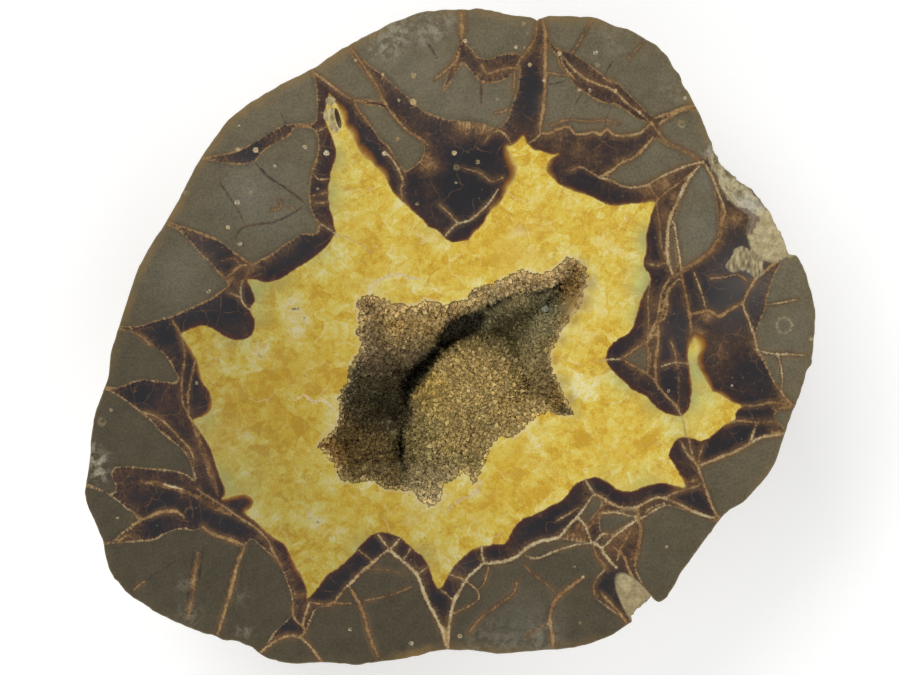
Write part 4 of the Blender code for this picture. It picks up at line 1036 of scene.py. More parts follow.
HONEY_PLACES = (
    (-46, -14, 8, 0.6), (-38, -10, 7, 0.6), (-40, -18, 8, 0.5), (11, 24, 6, 0.7), (2, 20, 6, 0.5),
    (-9, 24, 5, 0.5), (18, -34, 7, 0.6), (22, -40, 6, 0.6), (13, -42, 6, 0.5), (-18, 32, 5, 0.4),
    (24, 31, 6, 0.35), (38, 32, 6, 0.2), (45, -30, 6, 0.5), (52, -26, 5, 0.4), (-30, 0, 6, 0.5),
    (-32, -8, 5, 0.5), (-16, -47, 5, 0.6), (-26, -47, 6, 0.4), (36, 26, 4, 0.5), (32, 30, 4, 0.4),
    (-24, 29, 4, 0.6), (7, -48, 6, 0.4), (40, 3, 6, 0.3), (48, -20, 6, 0.3),
)
CHIPPED_PLACES = (
    (76.4, 20.4, 3.4, 1.2), (79.5, 18.6, 3, 1.1), (74, 18.6, 2.2, 1.1), (80.5, 22, 3, 1.1),
    (75, 40.6, 2.6, 0.9), (72.4, 39.6, 2, 0.6), (70.4, 43.6, 2.6, 0.9), (73.4, 36.4, 2.4, 0.5),
    (76, 34, 2.4, 0.55), (78, 31, 2, 0.6), (68.6, 46.4, 2, 0.8), (-31, 61.4, 1.9, 1),
    (-30.6, 58, 2.3, 1.1), (-29.8, 54.4, 1.9, 1), (78.6, 26, 1.6, 0.7),
)
SHADED_PLACES = (
    (34.6, 19, 2.6, 0.5), (36.6, 14, 2.6, 0.8), (35.4, 9, 2.6, 0.8), (32.6, 4.4, 2.2, 0.7),
    (29.6, -1, 2, 0.7), (28, -6, 1.8, 0.6), (30, -11.4, 2.4, 0.8), (32, -16, 2.6, 0.9),
    (33.6, -20, 1.8, 0.5), (38.6, 8, 2, 0.4),
)


def smooth_line(points, closed=False, step=LINE_STEP):
    """Run a smooth line through given points and give places along it."""
    p = np.array(points, float)
    if closed:
        p = np.vstack([p[-1:], p, p[:2]])
    else:
        p = np.vstack([2 * p[:1] - p[1:2], p, 2 * p[-1:] - p[-2:-1]])
    line = []
    for before, start, end, after in zip(p, p[1:], p[2:], p[3:]):
        span = np.linalg.norm(end - start)
        leave = (end - before) * span / (span + np.linalg.norm(start - before))
        arrive = (after - start) * span / (span + np.linalg.norm(after - end))
        pieces = max(1, round(span / step))
        for t in np.arange(pieces) / pieces:
            line.append(
                start + t * leave + t * t * (3 * (end - start) - 2 * leave - arrive)
                + t ** 3 * (2 * (start - end) + leave + arrive)
            )
    if not closed:
        line.append(p[-2])
    return np.array(line)


def beyond_rim(line, radius=118):
    """Close a line that runs from rim to rim by going round outside the stone."""
    first, last = (math.atan2(line[i][1], line[i][0]) for i in (0, -1))
    turn = (first - last + math.pi) % (2 * math.pi) - math.pi
    arc = last + turn * np.linspace(0, 1, max(2, round(abs(turn) / math.radians(12))))
    return np.vstack([line, radius * np.column_stack([np.cos(arc), np.sin(arc)])])


def resampled(loop, step):
    """Walk round a closed loop in even steps."""
    ring = np.vstack([loop, loop[:1]])
    walked = np.concatenate([[0], np.cumsum(np.linalg.norm(np.diff(ring, axis=0), axis=1))])
    stops = np.linspace(0, walked[-1], max(8, round(walked[-1] / step)), endpoint=False)
    return np.column_stack([np.interp(stops, walked, ring[:, i]) for i in (0, 1)])


def new_piece(name, corners, faces):
    """Make a piece from corners in millimetres and the faces between them."""
    mesh = bpy.data.meshes.new(name)
    mesh.from_pydata((corners * MM).tolist(), [], faces)
    piece = bpy.data.objects.new(name, mesh)
    bpy.context.scene.collection.objects.link(piece)
    return piece


def fine_net(points, edges, low, high, grain, room, kept):
    """Fill the room between lines with an even net; give the places and triangles of the kept part."""
    line_tree = KDTree(len(points))
    for i, (x, y) in enumerate(points):
        line_tree.insert((x, y, 0), i)
    line_tree.balance()
    columns = np.arange(low[0], high[0], grain)
    filled = list(points)
    for i, y in enumerate(np.arange(low[1], high[1], grain * NET_ROW)):
        row = np.column_stack([columns + (i % 2) * grain / 2, np.full(len(columns), y)])
        filled += [p for p in row[room(row)].tolist() if line_tree.find((*p, 0))[2] > 0.5 * grain]
    net = delaunay_2d_cdt([Vector(p) for p in filled], edges, [], 0, 1e-4)
    places = np.array([p[:] for p in net[0]])
    triangles = np.array([t for t in net[2] if len(t) == 3])
    triangles = triangles[kept(places[triangles].mean(axis=1))]
    used, triangles = np.unique(triangles, return_inverse=True)
    return places[used], triangles.reshape(-1, 3)


# Lay out every line of the face, then fill the rest with an even net of points.
to_picture = np.array(OUTLINE_MIDDLE)
rim = rim_line + to_picture
lip = resampled(lip_loop[:, :2] + to_picture, LIP_STEP)
for _ in range(2):
    lip += 0.25 * (np.roll(lip, 1, axis=0) + np.roll(lip, -1, axis=0) - 2 * lip)
lip_run = np.roll(lip, -1, axis=0) - np.roll(lip, 1, axis=0)
lip_out = np.column_stack([lip_run[:, 1], -lip_run[:, 0]]) / np.linalg.norm(lip_run, axis=1)[:, None]
lip_out *= 1 if (lip[:, 0] * lip_out[:, 0] + lip[:, 1] * lip_out[:, 1]).sum() > 0 else -1
lip_level = np.column_stack([lip, np.zeros(len(lip))])
notches = 0.26 - np.abs(relief(lip_level, 1.05, 9))
lip += lip_out * (0.5 * relief(lip_level, 2.4, 8, rough=1) + 1.5 * notches)[:, None]
small_loops = [resampled(loop[:, :2] + to_picture, 0.5) for loop in slit_loops]
yellow_loop = smooth_line(YELLOW_OUTLINE, closed=True)
block_loops = [beyond_rim(smooth_line(line)) for line in RIM_BLOCKS]
block_loops += [smooth_line(line, closed=True) for line in INNER_BLOCKS]
lens_loops = [smooth_line(line, closed=True) for line in BROWN_LENSES]
seam_lines = [smooth_line(line) for half, pale, line in SEAMS]
spots = [(*spot, 0) for spot in SPOTS] + [(*ring, 1) for ring in RINGS]
eighth = np.arange(8) * math.pi / 4
spot_circles = [np.column_stack([x + r * np.cos(eighth), y + r * np.sin(eighth)]) for x, y, r, _ in spots]

net_points = []
net_edges = []
for line in [rim, lip, *small_loops, yellow_loop, *block_loops, *lens_loops, *spot_circles]:
    start = len(net_points)
    net_points.extend(line.tolist())
    net_edges += [(start + i, start + (i + 1) % len(line)) for i in range(len(line))]
for line in seam_lines:
    start = len(net_points)
    net_points.extend(line.tolist())
    net_edges += [(start + i, start + i + 1) for i in range(len(line) - 1)]


def on_face(places):
    """Tell which places lie on the sawn face, outside its hollow and slit."""
    result = inside(places, rim)
    for loop in [lip, *small_loops]:
        result &= ~inside(places, loop)
    return result


face_places, triangles = fine_net(net_points, net_edges, *FACE_BOX, FACE_GRAIN, on_face, on_face)
a, b, c = (face_places[triangles[:, i]] for i in range(3))
clockwise = (b[:, 0] - a[:, 0]) * (c[:, 1] - a[:, 1]) < (c[:, 0] - a[:, 0]) * (b[:, 1] - a[:, 1])
triangles[clockwise] = triangles[clockwise][:, ::-1]

face_corners = np.column_stack([face_places - to_picture, np.full(len(face_places), FACE_LEVEL)])
polished = new_piece("polished_face", face_corners, triangles.tolist())
face_mesh = polished.data

# The marks become distances in millimetres, which the material reads.
spot_depth = np.full(len(face_places), -FIELD_REACH)
ring_depth = np.full(len(face_places), -FIELD_REACH)
for x, y, r, hollow_ring in spots:
    inner = r - np.hypot(face_places[:, 0] - x, face_places[:, 1] - y)
    if hollow_ring:
        ring_depth = np.maximum(ring_depth, inner)
    else:
        spot_depth = np.maximum(spot_depth, inner)
mud = np.full(len(face_places), -FIELD_REACH)
mud_away = np.full(len(face_places), FIELD_REACH)
mud_feet = face_places.copy()
for is_lens, loop in [(False, loop) for loop in block_loops] + [(True, loop) for loop in lens_loops]:
    depth, feet = depth_inside(face_places, loop)
    mud = np.minimum(mud, -depth) if is_lens else np.maximum(mud, depth)
    nearer = np.abs(depth) < mud_away
    mud_away[nearer] = np.abs(depth)[nearer]
    mud_feet[nearer] = feet[nearer]
seam = np.full(len(face_places), -FIELD_REACH)
seam_pale = np.zeros(len(face_places))
for k, ((half, pale, _), line) in enumerate(zip(SEAMS, seam_lines)):
    reach_in = np.minimum(np.arange(len(line)), np.arange(len(line))[::-1]) * LINE_STEP
    wander = 1 + 0.45 * relief(np.column_stack([line, np.full(len(line), k)]), 3.5, 11)
    widths = SEAM_SHARE * half * np.clip(0.3 + reach_in / (6 * half + 0.6), 0, 1) * wander
    here, _ = closeness(face_places, line, widths)
    seam_pale = np.where(here > seam, pale, seam_pale)
    seam = np.maximum(seam, here)


def near(places, x, y, reach):
    """Give 1 at a place and fade to nothing round it."""
    return np.exp(-((np.hypot(places[:, 0] - x, places[:, 1] - y) / reach) ** 2))


def patches_of(table):
    """Spread the listed places out as soft patches."""
    total = np.zeros(len(face_places))
    for x, y, reach, strength in table:
        total = np.maximum(total, strength * near(face_places, x, y, reach))
    return total


yellow_depth, yellow_feet = depth_inside(face_places, yellow_loop)
for name, feet in (("mud_foot", mud_feet), ("yellow_foot", yellow_feet)):
    layer = face_mesh.attributes.new(name, "FLOAT_VECTOR", "POINT")
    rows = np.column_stack([feet, np.zeros(len(feet))])
    layer.data.foreach_set("vector", rows.astype(np.float32).ravel())
for name, values in {
    "yellow": yellow_depth,
    "mud": mud,
    "seam": seam,
    "seam_pale": seam_pale,
    "rim": depth_inside(face_places, rim)[0],
    "lip": -depth_inside(face_places, lip)[0],
    "spot": spot_depth,
    "ring": ring_depth,
    "amber": patches_of(AMBER_PLACES),
    "warmth": patches_of(OCHRE_PLACES) - patches_of(DARK_PLACES),
    "painted_reflection": patches_of(PAINTED_REFLECTION_PLACES),
    "frost": patches_of(FROST_PLACES),
    "stain": patches_of(STAIN_PLACES),
    "cream": patches_of(CREAM_PLACES),
    "green": patches_of(GREEN_PLACES),
    "honey": patches_of(HONEY_PLACES),
    "chipped": patches_of(CHIPPED_PLACES),
    "shaded": patches_of(SHADED_PLACES),
}.items():
    keep_field(face_mesh, name, values)

# Give the slab its edge and its underside.
take_up(polished)
bpy.ops.object.mode_set(mode="EDIT")
bpy.context.tool_settings.mesh_select_mode = (False, True, False)
bpy.ops.mesh.select_all(action="SELECT")
bpy.ops.mesh.region_to_loop()
bpy.ops.mesh.extrude_region_move(TRANSFORM_OT_translate={"value": (0, 0, -FACE_SLAB * MM)})
bpy.ops.mesh.fill(use_beauty=False)
bpy.ops.mesh.select_all(action="SELECT")
bpy.ops.mesh.normals_make_consistent(inside=False)
bpy.ops.object.mode_set(mode="OBJECT")

# The face's colours, laid over each other in the order in which the stone grew.
face_material, tree, shader = new_material("polished_septarian")
where = millimetres()
wander = mottle(where, 1.1, detail=3) - 0.5
wander_fine = mottle(where, 0.42, detail=3) - 0.5
wander_wide = mottle(where, 3.2, detail=2) - 0.5
fine = mottle(where, 0.5, detail=3)
clouds = mottle(where, 9, detail=3)
amber = field("amber")
warmth = field("warmth")
painted_reflection = field("painted_reflection")
green = field("green")
cream = field("cream")
mud_edge = field("mud") + (wander * 0.5 + wander_fine * 0.7)
yellow_edge = field("yellow") + (wander_wide * 0.9 + wander * 0.5)
parts = add_node("SeparateXYZ", {0: where})
across, upward = parts[0], parts[1]


def combed(name, where, drift):
    """Give places that change along a growth edge but hardly away from it, so marks stand square to it."""
    foot = add_node("Attribute", {}, attribute_name=name)["Vector"]
    part = calc3("SCALE", where, drift)
    return calc3("ADD", foot, part)


# Mudstone blocks, a little darker to the lower left, with a painted blue-grey reflection in places.
lower = rise(across * 0.5 + upward, 55, -85)
stone_tone = blend(lower, paint(101, 92, 70), paint(73, 66, 50))
stone_tone = blend(painted_reflection * 0.5, stone_tone, paint(118, 115, 102))
near_crack = rise(mud_edge, 1.8, 0.1) * rise(clouds, 0.35, 0.6)
stone_tone = blend(near_crack * 0.5, stone_tone, paint(66, 54, 38))
grey = add_node("Group", {"Where": where, "Stone": stone_tone}, node_tree=mudstone)["Color"]

# The dark brown lining: blue-black to purple-brown, rusty by the seams, its fibres square to them.
comb = mottle(combed("mud_foot", where, 0.14), 0.62, detail=3)
fibres = mottle(warped(where, 4, 2.5), 1.6, detail=5, warp=1.5)
by_seam = rise(-mud_edge, 3.4, 0.2)
by_yellow = rise(-yellow_edge, 2.2, 0.2)
brown_value = clouds * 0.46 + fibres * 0.42
brown_value += (comb - 0.45) * (by_seam * 0.75)
brown_value += warmth * 0.23
brown_value += by_seam * 0.08
brown_value += wander_fine * 0.42
brown_value += wander * 0.2
brown = shades(
    brown_value, (0.26, paint(34, 33, 36)), (0.4, paint(46, 38, 38)), (0.5, paint(60, 44, 37)),
    (0.64, paint(80, 60, 42)), (0.78, paint(118, 86, 54)), (0.94, paint(164, 132, 86)),
)
brown = blend(by_yellow * 0.4, brown, paint(76, 36, 26))
hair_net = cells(warped(where, 3, 1.3), 6, feature="DISTANCE_TO_EDGE")["Distance"]
hairs = rise(hair_net, 0.02, 0.006) * rise(mottle(where, 6), 0.42, 0.6)
brown = blend(hairs * 0.34, brown, paint(136, 98, 62))
flecks = cells(where, 1.7)["Distance"]
flecks = rise(flecks, 0.17, 0.08) * rise(mottle(where, 5), 0.5, 0.64)
brown = blend(flecks * 0.45, brown, paint(140, 116, 84))
# Painted reflection: the same soft blue-grey over the brown lining.
brown = blend(painted_reflection * 0.34, brown, paint(128, 120, 112))

# The yellow crystals: grains shading from gold to pale, drawn out square to the edge they grew from.
grown = warped(warped(where, 7, 3.4), 1.6, 0.5)
big_cells = cells(grown, 7.5)
big_tone = add_node("SeparateXYZ", {0: big_cells["Color"]})
lean = calc3("SUBTRACT", big_cells["Color"], (0.5, 0.5, 0.5))
off_middle = calc3("SUBTRACT", grown, big_cells["Position"])
slope = calc3("DOT_PRODUCT", off_middle, lean)
small_cells = cells(warped(where, 2.4, 1.3), 2.7)
small_tone = add_node("SeparateXYZ", {0: small_cells["Color"]})[0]
rays = combed("yellow_foot", where, 0.22)
ray_cells = cells(warped(rays, 2.5, 0.5), 2.1)
ray_tone = add_node("SeparateXYZ", {0: ray_cells["Color"]})[0]
ray_fine = mottle(rays, 0.55, detail=2)
by_edge = rise(field("yellow"), 8.5, 3)
grain_tone = (big_tone[0] - 0.5) * 0.2 + slope * 0.05
grain_tone += (small_tone - 0.5) * 0.3
tiny_cells = cells(warped(where, 1.1, 0.5), 1.15)
tiny_tone = add_node("SeparateXYZ", {0: tiny_cells["Color"]})[0]
grain_tone += (tiny_tone - 0.5) * 0.26
ray_part = (ray_tone - 0.5) * 0.3 + (ray_fine - 0.5) * 0.5
yellow_value = ray_part * by_edge + grain_tone
yellow_value += clouds * 0.48 + 0.21
yellow_value += wander_wide * 0.22
yellow_value += wander_fine * 0.8
yellow_value += wander * 0.34
yellow_value += cream * 0.28
yellow_value -= field("honey") * 0.16
by_lip = rise(field("lip") + wander_wide * 4, 9, 1)
yellow_value += by_lip * 0.07
yellow = shades(
    yellow_value, (0.1, paint(192, 150, 42)), (0.28, paint(205, 168, 54)), (0.44, paint(212, 183, 70)),
    (0.58, paint(215, 192, 88)), (0.74, paint(219, 203, 118)), (0.95, paint(225, 214, 162)),
)
tan_shift = rise(mottle(where, 11, detail=2, warp=0.6), 0.5, 0.72) * 0.26
yellow = blend(tan_shift, yellow, paint(202, 168, 88))
yellow = blend(field("honey") * 0.42, yellow, paint(208, 168, 46))
fresh_edge = rise(field("yellow"), 6.5, 0.5)
greenish = green * (fresh_edge * 0.5 + 0.3)
yellow = blend(greenish, yellow, paint(182, 184, 112))
grain_edges = cells(grown, 7.5, feature="DISTANCE_TO_EDGE")["Distance"]
pale_lines = rise(grain_edges, 0.05, 0.0) * rise(mottle(where, 5, detail=2), 0.46, 0.7)
yellow = blend(pale_lines * 0.42, yellow, paint(232, 220, 160))
dark_lines = cells(warped(where, 2.4, 1.3), 2.7, feature="DISTANCE_TO_EDGE")["Distance"]
dark_lines = rise(dark_lines, 0.07, 0.0) * rise(mottle(where, 3.6, detail=2), 0.5, 0.66)
yellow = blend(dark_lines * 0.4, yellow, paint(172, 138, 66))
pits = rise(mottle(where, 0.7, detail=2), 0.7, 0.75) * rise(mottle(where, 7), 0.48, 0.6)
yellow = blend(pits * 0.7, yellow, paint(116, 92, 48))
sparkle = rise(mottle(where, 0.5, detail=2), 0.66, 0.74)
yellow = blend(sparkle * 0.4, yellow, paint(232, 222, 170))
crusty = rise(cream, 0.2, 0.75)
cream_crust = crusty * rise(mottle(where, 2.2, detail=5), 0.42, 0.58)
yellow = blend(cream_crust * 0.62, yellow, paint(224, 208, 160))
holes = rise(cream, 0.45, 0.9) * rise(mottle(where, 1.1, detail=4), 0.6, 0.66)
yellow = blend(holes, yellow, paint(84, 68, 44))
lip_edge = rise(field("lip") + wander, 0.9, 0.2) * rise(mottle(where, 7), 0.38, 0.6)
lip_edge = lip_edge * (1 - field("shaded"))
yellow = blend(lip_edge * 0.75, yellow, paint(214, 194, 142))
far_side = rise(-across - upward * 0.5, -30, 75)
dimmed = 1 - far_side * 0.38
yellow = calc3("SCALE", yellow, dimmed)
shade_by_lip = field("shaded") * rise(wander_wide * 3 + field("lip"), 4.6, 0.4)
yellow = blend(shade_by_lip * 0.8, yellow, paint(146, 120, 66))
frosted_edge = rise(yellow_edge + ray_fine * 3, 4.4, 1.4) * green
yellow = blend(frosted_edge * 0.5, yellow, paint(142, 135, 88))

# Where brown meets yellow the crystals are stained amber, widely in some places.
stain_width = amber * 2.6 + 0.6
stain_step = (wander_fine * 0.5 + yellow_edge) / stain_width
stained = shades(
    stain_step + 1, (0.0, paint(58, 35, 33)), (0.3, paint(86, 50, 30)), (0.6, paint(128, 82, 28)),
    (0.85, paint(164, 124, 54)), (1.0, paint(190, 162, 84)),
)
lining = blend(rise(yellow_edge, -0.15, 0.15), brown, yellow)
stain_mask = rise(stain_step, -1, -0.5) * rise(stain_step, 0.3, -0.05)
lining = blend(stain_mask * (amber * 0.6 + 0.36), lining, stained)

# Mudstone over the lining, then the tan seams along every crack, fringed and broken up.
stone = blend(rise(mud_edge, -0.22, 0.22), lining, grey)
pale_south = rise(upward, 15, -45)
seam_pale = wander_fine * 0.7 + (wander_wide * 0.7 + field("seam_pale"))
seam_colour = shades(
    seam_pale, (0.0, paint(44, 34, 32)), (0.24, paint(92, 64, 40)), (0.42, paint(134, 100, 60)),
    (0.6, paint(160, 126, 80)), (0.8, paint(180, 152, 106)), (1.0, paint(200, 184, 142)),
)
edge_colour = blend(pale_south, paint(158, 125, 78), paint(176, 152, 110))
edge_colour = blend(rise(comb, 0.36, 0.6), paint(112, 78, 44), edge_colour)
edge_width = mottle(where, 6, detail=2) * 1.0 - 0.36
along_edge = wander_fine * 0.5 + edge_width - abs(mud_edge)
stone = blend(rise(along_edge, -0.2, 0.14) * 0.8, stone, edge_colour)
seam_edge = field("seam") + (wander * 0.7 + wander_fine * 0.9)
not_dark = rise(field("seam_pale"), 0.2, 0.5)
off_yellow = rise(field("yellow"), 0.6, -0.4)
glow = rise(seam_edge, -1.5, -0.2) * not_dark * off_yellow
glow_colour = blend(rise(clouds, 0.38, 0.58), paint(74, 54, 38), paint(122, 90, 54))
stone = blend(glow * 0.42, stone, glow_colour)
fringe = rise(seam_edge, -0.6, -0.15) * not_dark * off_yellow
stone = blend(fringe * 0.5, stone, paint(64, 46, 34))
faint = rise(mottle(where, 2.6, detail=3), 0.3, 0.52)
seam_core = rise(seam_edge, -0.34, 0.26) * (faint * 0.55 + 0.36)
stone = blend(seam_core, stone, seam_colour)

# Filled grains, chips, the weathered stain along the rim, the worn rim edge painted lighter as its
# highlight, and dull scuffed places.
pale_dot = blend(rise(wander_wide, -0.12, 0.12), paint(186, 156, 104), paint(206, 196, 168))
pale_dot = blend(rise(fine, 0.6, 0.36), pale_dot, paint(150, 128, 92))
stone = blend(rise(wander_fine * 0.6 + field("spot"), -0.12, 0.12), stone, pale_dot)
ring_at = abs(field("ring") - 0.25)
stone = blend(rise(ring_at + wander * 2, 0.45, 0.05) * 0.3, stone, pale_dot)
rim_depth = field("rim") + wander_wide * 3
rim_stain = rise(rim_depth, 3.2, 0.2) * (field("stain") * 0.7 + 0.06)
stone = blend(rim_stain, stone, blend(fine, paint(104, 78, 44), paint(156, 126, 76)))
worn_edge_painted_highlight = rise(field("rim") + wander * 0.8, 0.42, 0.05)
stone = blend(worn_edge_painted_highlight * 0.55, stone, paint(136, 120, 88))
chips = rise(wander_wide * 0.9 + field("chipped"), 0.42, 0.62)
chip_grain = mottle(calc3("MULTIPLY", where, (1.6, 0.55, 1)), 1.3, detail=4)
chip_colour = shades(
    chip_grain, (0.32, paint(92, 78, 52)), (0.5, paint(146, 130, 92)), (0.66, paint(190, 174, 128)),
)
stone = blend(chips * 0.88, stone, chip_colour)
smear = rise(mottle(where, 1.7, detail=5), 0.38, 0.6) * (rise(fine, 0.36, 0.62) * 0.6 + 0.4)
scuffs = calc("MINIMUM", field("frost") * smear, 1)
stone = blend(scuffs * 0.8, stone, paint(172, 165, 138))
feed(shader, "Base Color", stone)
feed(shader, "Roughness", calc("MAXIMUM", scuffs, chips) * 0.4 + (clouds * 0.16 + 0.16))
polish = fine * 0.06 + scuffs * -0.4 - calc("MAXIMUM", holes, chips * chip_grain) * 1.5
bump = add_node("Bump", {"Height": polish, "Distance": 0.2 * MM, "Strength": 0.5})
feed(shader, "Normal", bump[0])
face_mesh.materials.append(face_material)

# Lay the map flat over the face, with the edge and the underside folded into one free corner.
MAP_SPAN = 194
CORNER_SPAN = 0.03
flat_map = face_mesh.uv_layers.new(name="OFBake")
for face in face_mesh.polygons:
    top = face.normal.z > 0.5
    for loop_index in face.loop_indices:
        x, y, z = face_mesh.vertices[face_mesh.loops[loop_index].vertex_index].co / MM
        if top:
            flat_map.data[loop_index].uv = (0.5 + x / MAP_SPAN, 0.5 + y / MAP_SPAN)
        else:
            flat_map.data[loop_index].uv = (
                (0.5 + x / MAP_SPAN) * CORNER_SPAN, (0.5 + (y + z - FACE_LEVEL) / MAP_SPAN) * CORNER_SPAN
            )
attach(polished, "root")
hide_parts("nodule")


# The druse: the hollow's living crust of small calcite crystals, tan where it is clean, grey-brown
# with dirt in the deep parts, and painted shade darkens the cleft and the undercut below the ledge.
# The last fluid in the stone laid it down; it hugs the hollow's wall.
CRUST_GRAIN = 0.85
CRUST_BOX = ((-40, -48), (42, 26))
CRUST_RISE = 1.3
CRUST_THICKNESS = 0.8
CRYSTALS_PER_MM2 = 5.6
STEEP_AREA = 12
LIP_TUCK = 0.4
LIP_INSET = 0.3
TIP_GAP = 0.15
BORDER_LEVEL = -0.62
LEDGE_LEVEL = -2.0
LEDGE_LINE = (
    (-1, 8.2), (3, 8.6), (6, 9.6), (9, 11), (12, 12.2), (16, 13.8), (19, 15), (22.5, 14.8), (26, 15.6),
    (29, 17.6), (31, 19.6),
)
# The dark cleft beside the mound: place and half width.
CLEFT = (
    (8, 5.4, 1), (5, 4.4, 3.2), (1.6, 2, 3.2), (-3, -3.4, 1.9), (-7, -8.2, 2.1), (-10.2, -12.4, 2.6),
    (-11.6, -16, 1.2), (-10.4, -20.6, 0), (-12, -25, -0.5), (-13.6, -29, 0.7), (-12.6, -33.6, 0.7),
    (-11, -37, -0.4), (-8.4, -40.8, 0.5), (-7.2, -43.2, 0.5),
)
UNDERCUT_LINE = ((9, 8.4), (13, 9.8), (17, 11.4), (21, 12.2), (25, 12.8), (29, 14.8))

# A loose pale grain lies on the crust: place and size.
LOOSE_GRAIN = (25.3, 7, 1.25)
# The wall shows bare between the crystals here: place and reach.
BARE_WALL = (32.5, 8, 5.5)
THIN_WALL = (28.5, -4, 3)
# Where crystals are larger or, below nought, smaller than elsewhere: place, reach and by what share.
CRYSTAL_SIZE = 0.34
LARGEST_CRYSTAL = 0.78
LARGER_CRYSTALS = (
    (-26, -32, 6, 0.9), (-19, 4, 4, 0.3), (-4, -41, 4, 0.4), (3, -36, 4, 0.3), (-12, 3, 5, 0.25),
    (19, 3, 9, -0.35), (-20, -16, 6, -0.2),
)

# Place, reach and colour of the crust's parts: clean crystals, bare wall, dirt, and painted shade in the
# narrow groove by the right lip.
CRUST_PARTS = (
    (-12, 4, 7, 184, 158, 102), (-21, 8.5, 3.5, 158, 132, 86), (-21, 0, 4, 140, 118, 84),
    (-16, -6, 5, 114, 97, 70), (-9, -4, 4, 98, 84, 62), (-20, -14, 5, 78, 69, 44),
    (-15, -20, 5, 78, 68, 44), (-23, -19, 3, 80, 69, 46), (-27, -25, 4, 96, 76, 40),
    (-22, -31, 5, 106, 87, 50), (-30, -30, 3, 130, 98, 48), (-18, -35, 4, 110, 92, 54),
    (7, -14, 10, 180, 156, 98), (16, -12, 7, 174, 150, 94), (2, -24, 7, 166, 146, 90),
    (-4, -14, 4, 176, 150, 76), (-9, -27, 4, 134, 118, 72), (-3, -37, 5, 156, 138, 96),
    (-4, -42, 2.5, 184, 166, 120), (8, -27, 5, 154, 134, 86), (18, 3, 7, 146, 134, 92),
    (26, 8, 4, 144, 136, 98), (12, 6, 4, 116, 108, 74), (25, -11, 4, 106, 88, 54),
    (20, -5, 4, 126, 112, 72), (33, 10, 3.4, 144, 115, 63), (31, 4, 2.6, 136, 107, 56),
    (34.5, 16, 3, 150, 120, 70), (27.5, -3, 2.4, 134, 108, 58), (30, -16, 3, 140, 112, 60),
    (31, -19.6, 1.8, 36, 24, 16), (16, 13.4, 3, 166, 142, 96), (8, 11, 2.6, 164, 140, 92),
    (24, 15.4, 2.6, 160, 136, 92), (30, 18.4, 2.2, 150, 126, 84), (0, 8.6, 2, 150, 124, 78),
)


def spread_over(places, line, reach):
    """Give 1 on a line and fade to 0 at the reach."""
    line = smooth_line(line)
    return 1 - fade(-closeness(places, line, np.zeros(len(line)))[0], 0, reach)


def in_cleft(places, soft):
    """Give 1 inside the cleft and fade to 0 this far beyond it."""
    line = smooth_line(CLEFT)
    return fade(closeness(places, line[:, :2], line[:, 2])[0], -soft, 0.8)


# The crust's free side, cut from an even net inside the hollow's lip.
outer_lip = lip + lip_out * LIP_TUCK
inner_lip = lip - lip_out * LIP_INSET
crust_points = outer_lip.tolist() + inner_lip.tolist()
around = len(outer_lip)
crust_edges = [(i, (i + 1) % around) for i in range(around)]
crust_edges += [(around + i, around + (i + 1) % around) for i in range(around)]
crust_places, crust_faces = fine_net(
    crust_points, crust_edges, *CRUST_BOX, CRUST_GRAIN,
    lambda places: inside(places, inner_lip), lambda places: inside(places, outer_lip),
)

levels = []
for x, y in crust_places - to_picture:
    hit, slope, _, _ = hollow_depths.ray_cast(Vector((x, y, FACE_LEVEL + 20)), Vector((0, 0, -1)))
    if hit is None:
        levels.append(BORDER_LEVEL)
    else:
        levels.append(min(hit.z - FACE_LEVEL + CRUST_RISE / max(abs(slope.z), 0.4), BORDER_LEVEL))
levels = np.array(levels)
crust_level = np.column_stack([crust_places, levels])
from_lip = np.clip(depth_inside(crust_places, lip)[0], 0, 6)
on_ledge = spread_over(crust_places, LEDGE_LINE, 2.3)
sunk = in_cleft(crust_places, 2)
in_undercut = spread_over(crust_places, UNDERCUT_LINE, 2.2)
crust_lumps = 0.55 * relief(crust_level, 4.5, 21) + 0.45 * relief(crust_level, 1.7, 22)
levels += crust_lumps * fade(from_lip, 0.2, 2)
levels -= (0.8 + 2 * fade(-levels, 3, 12)) * sunk * fade(from_lip, 0.5, 3)
levels -= 1.4 * in_undercut * (1 - fade(on_ledge, 0.1, 0.4)) * fade(from_lip, 0.5, 3)
border_drop = 0.5 + 1.1 * relief(crust_level, 3.1, 24)
levels = np.minimum(levels, BORDER_LEVEL - np.maximum(border_drop, 0) * fade(from_lip, 0.2, 1.2))
ledge_top = LEDGE_LEVEL + 0.5 * relief(crust_level, 2.4, 23)
levels = np.where((on_ledge > 0.35) & (from_lip > 0), np.maximum(levels, ledge_top), levels)
levels[from_lip <= 0] = BORDER_LEVEL

crust_corners = np.column_stack([crust_places - to_picture, FACE_LEVEL + levels])
druse = new_piece("druse", crust_corners, crust_faces.tolist())
crust_mesh = druse.data
take_up(druse)
bpy.ops.object.mode_set(mode="EDIT")
bpy.ops.mesh.select_all(action="SELECT")
bpy.ops.mesh.normals_make_consistent(inside=False)
bpy.ops.object.mode_set(mode="OBJECT")
if crust_mesh.polygons[0].normal.z < 0:
    crust_mesh.flip_normals()

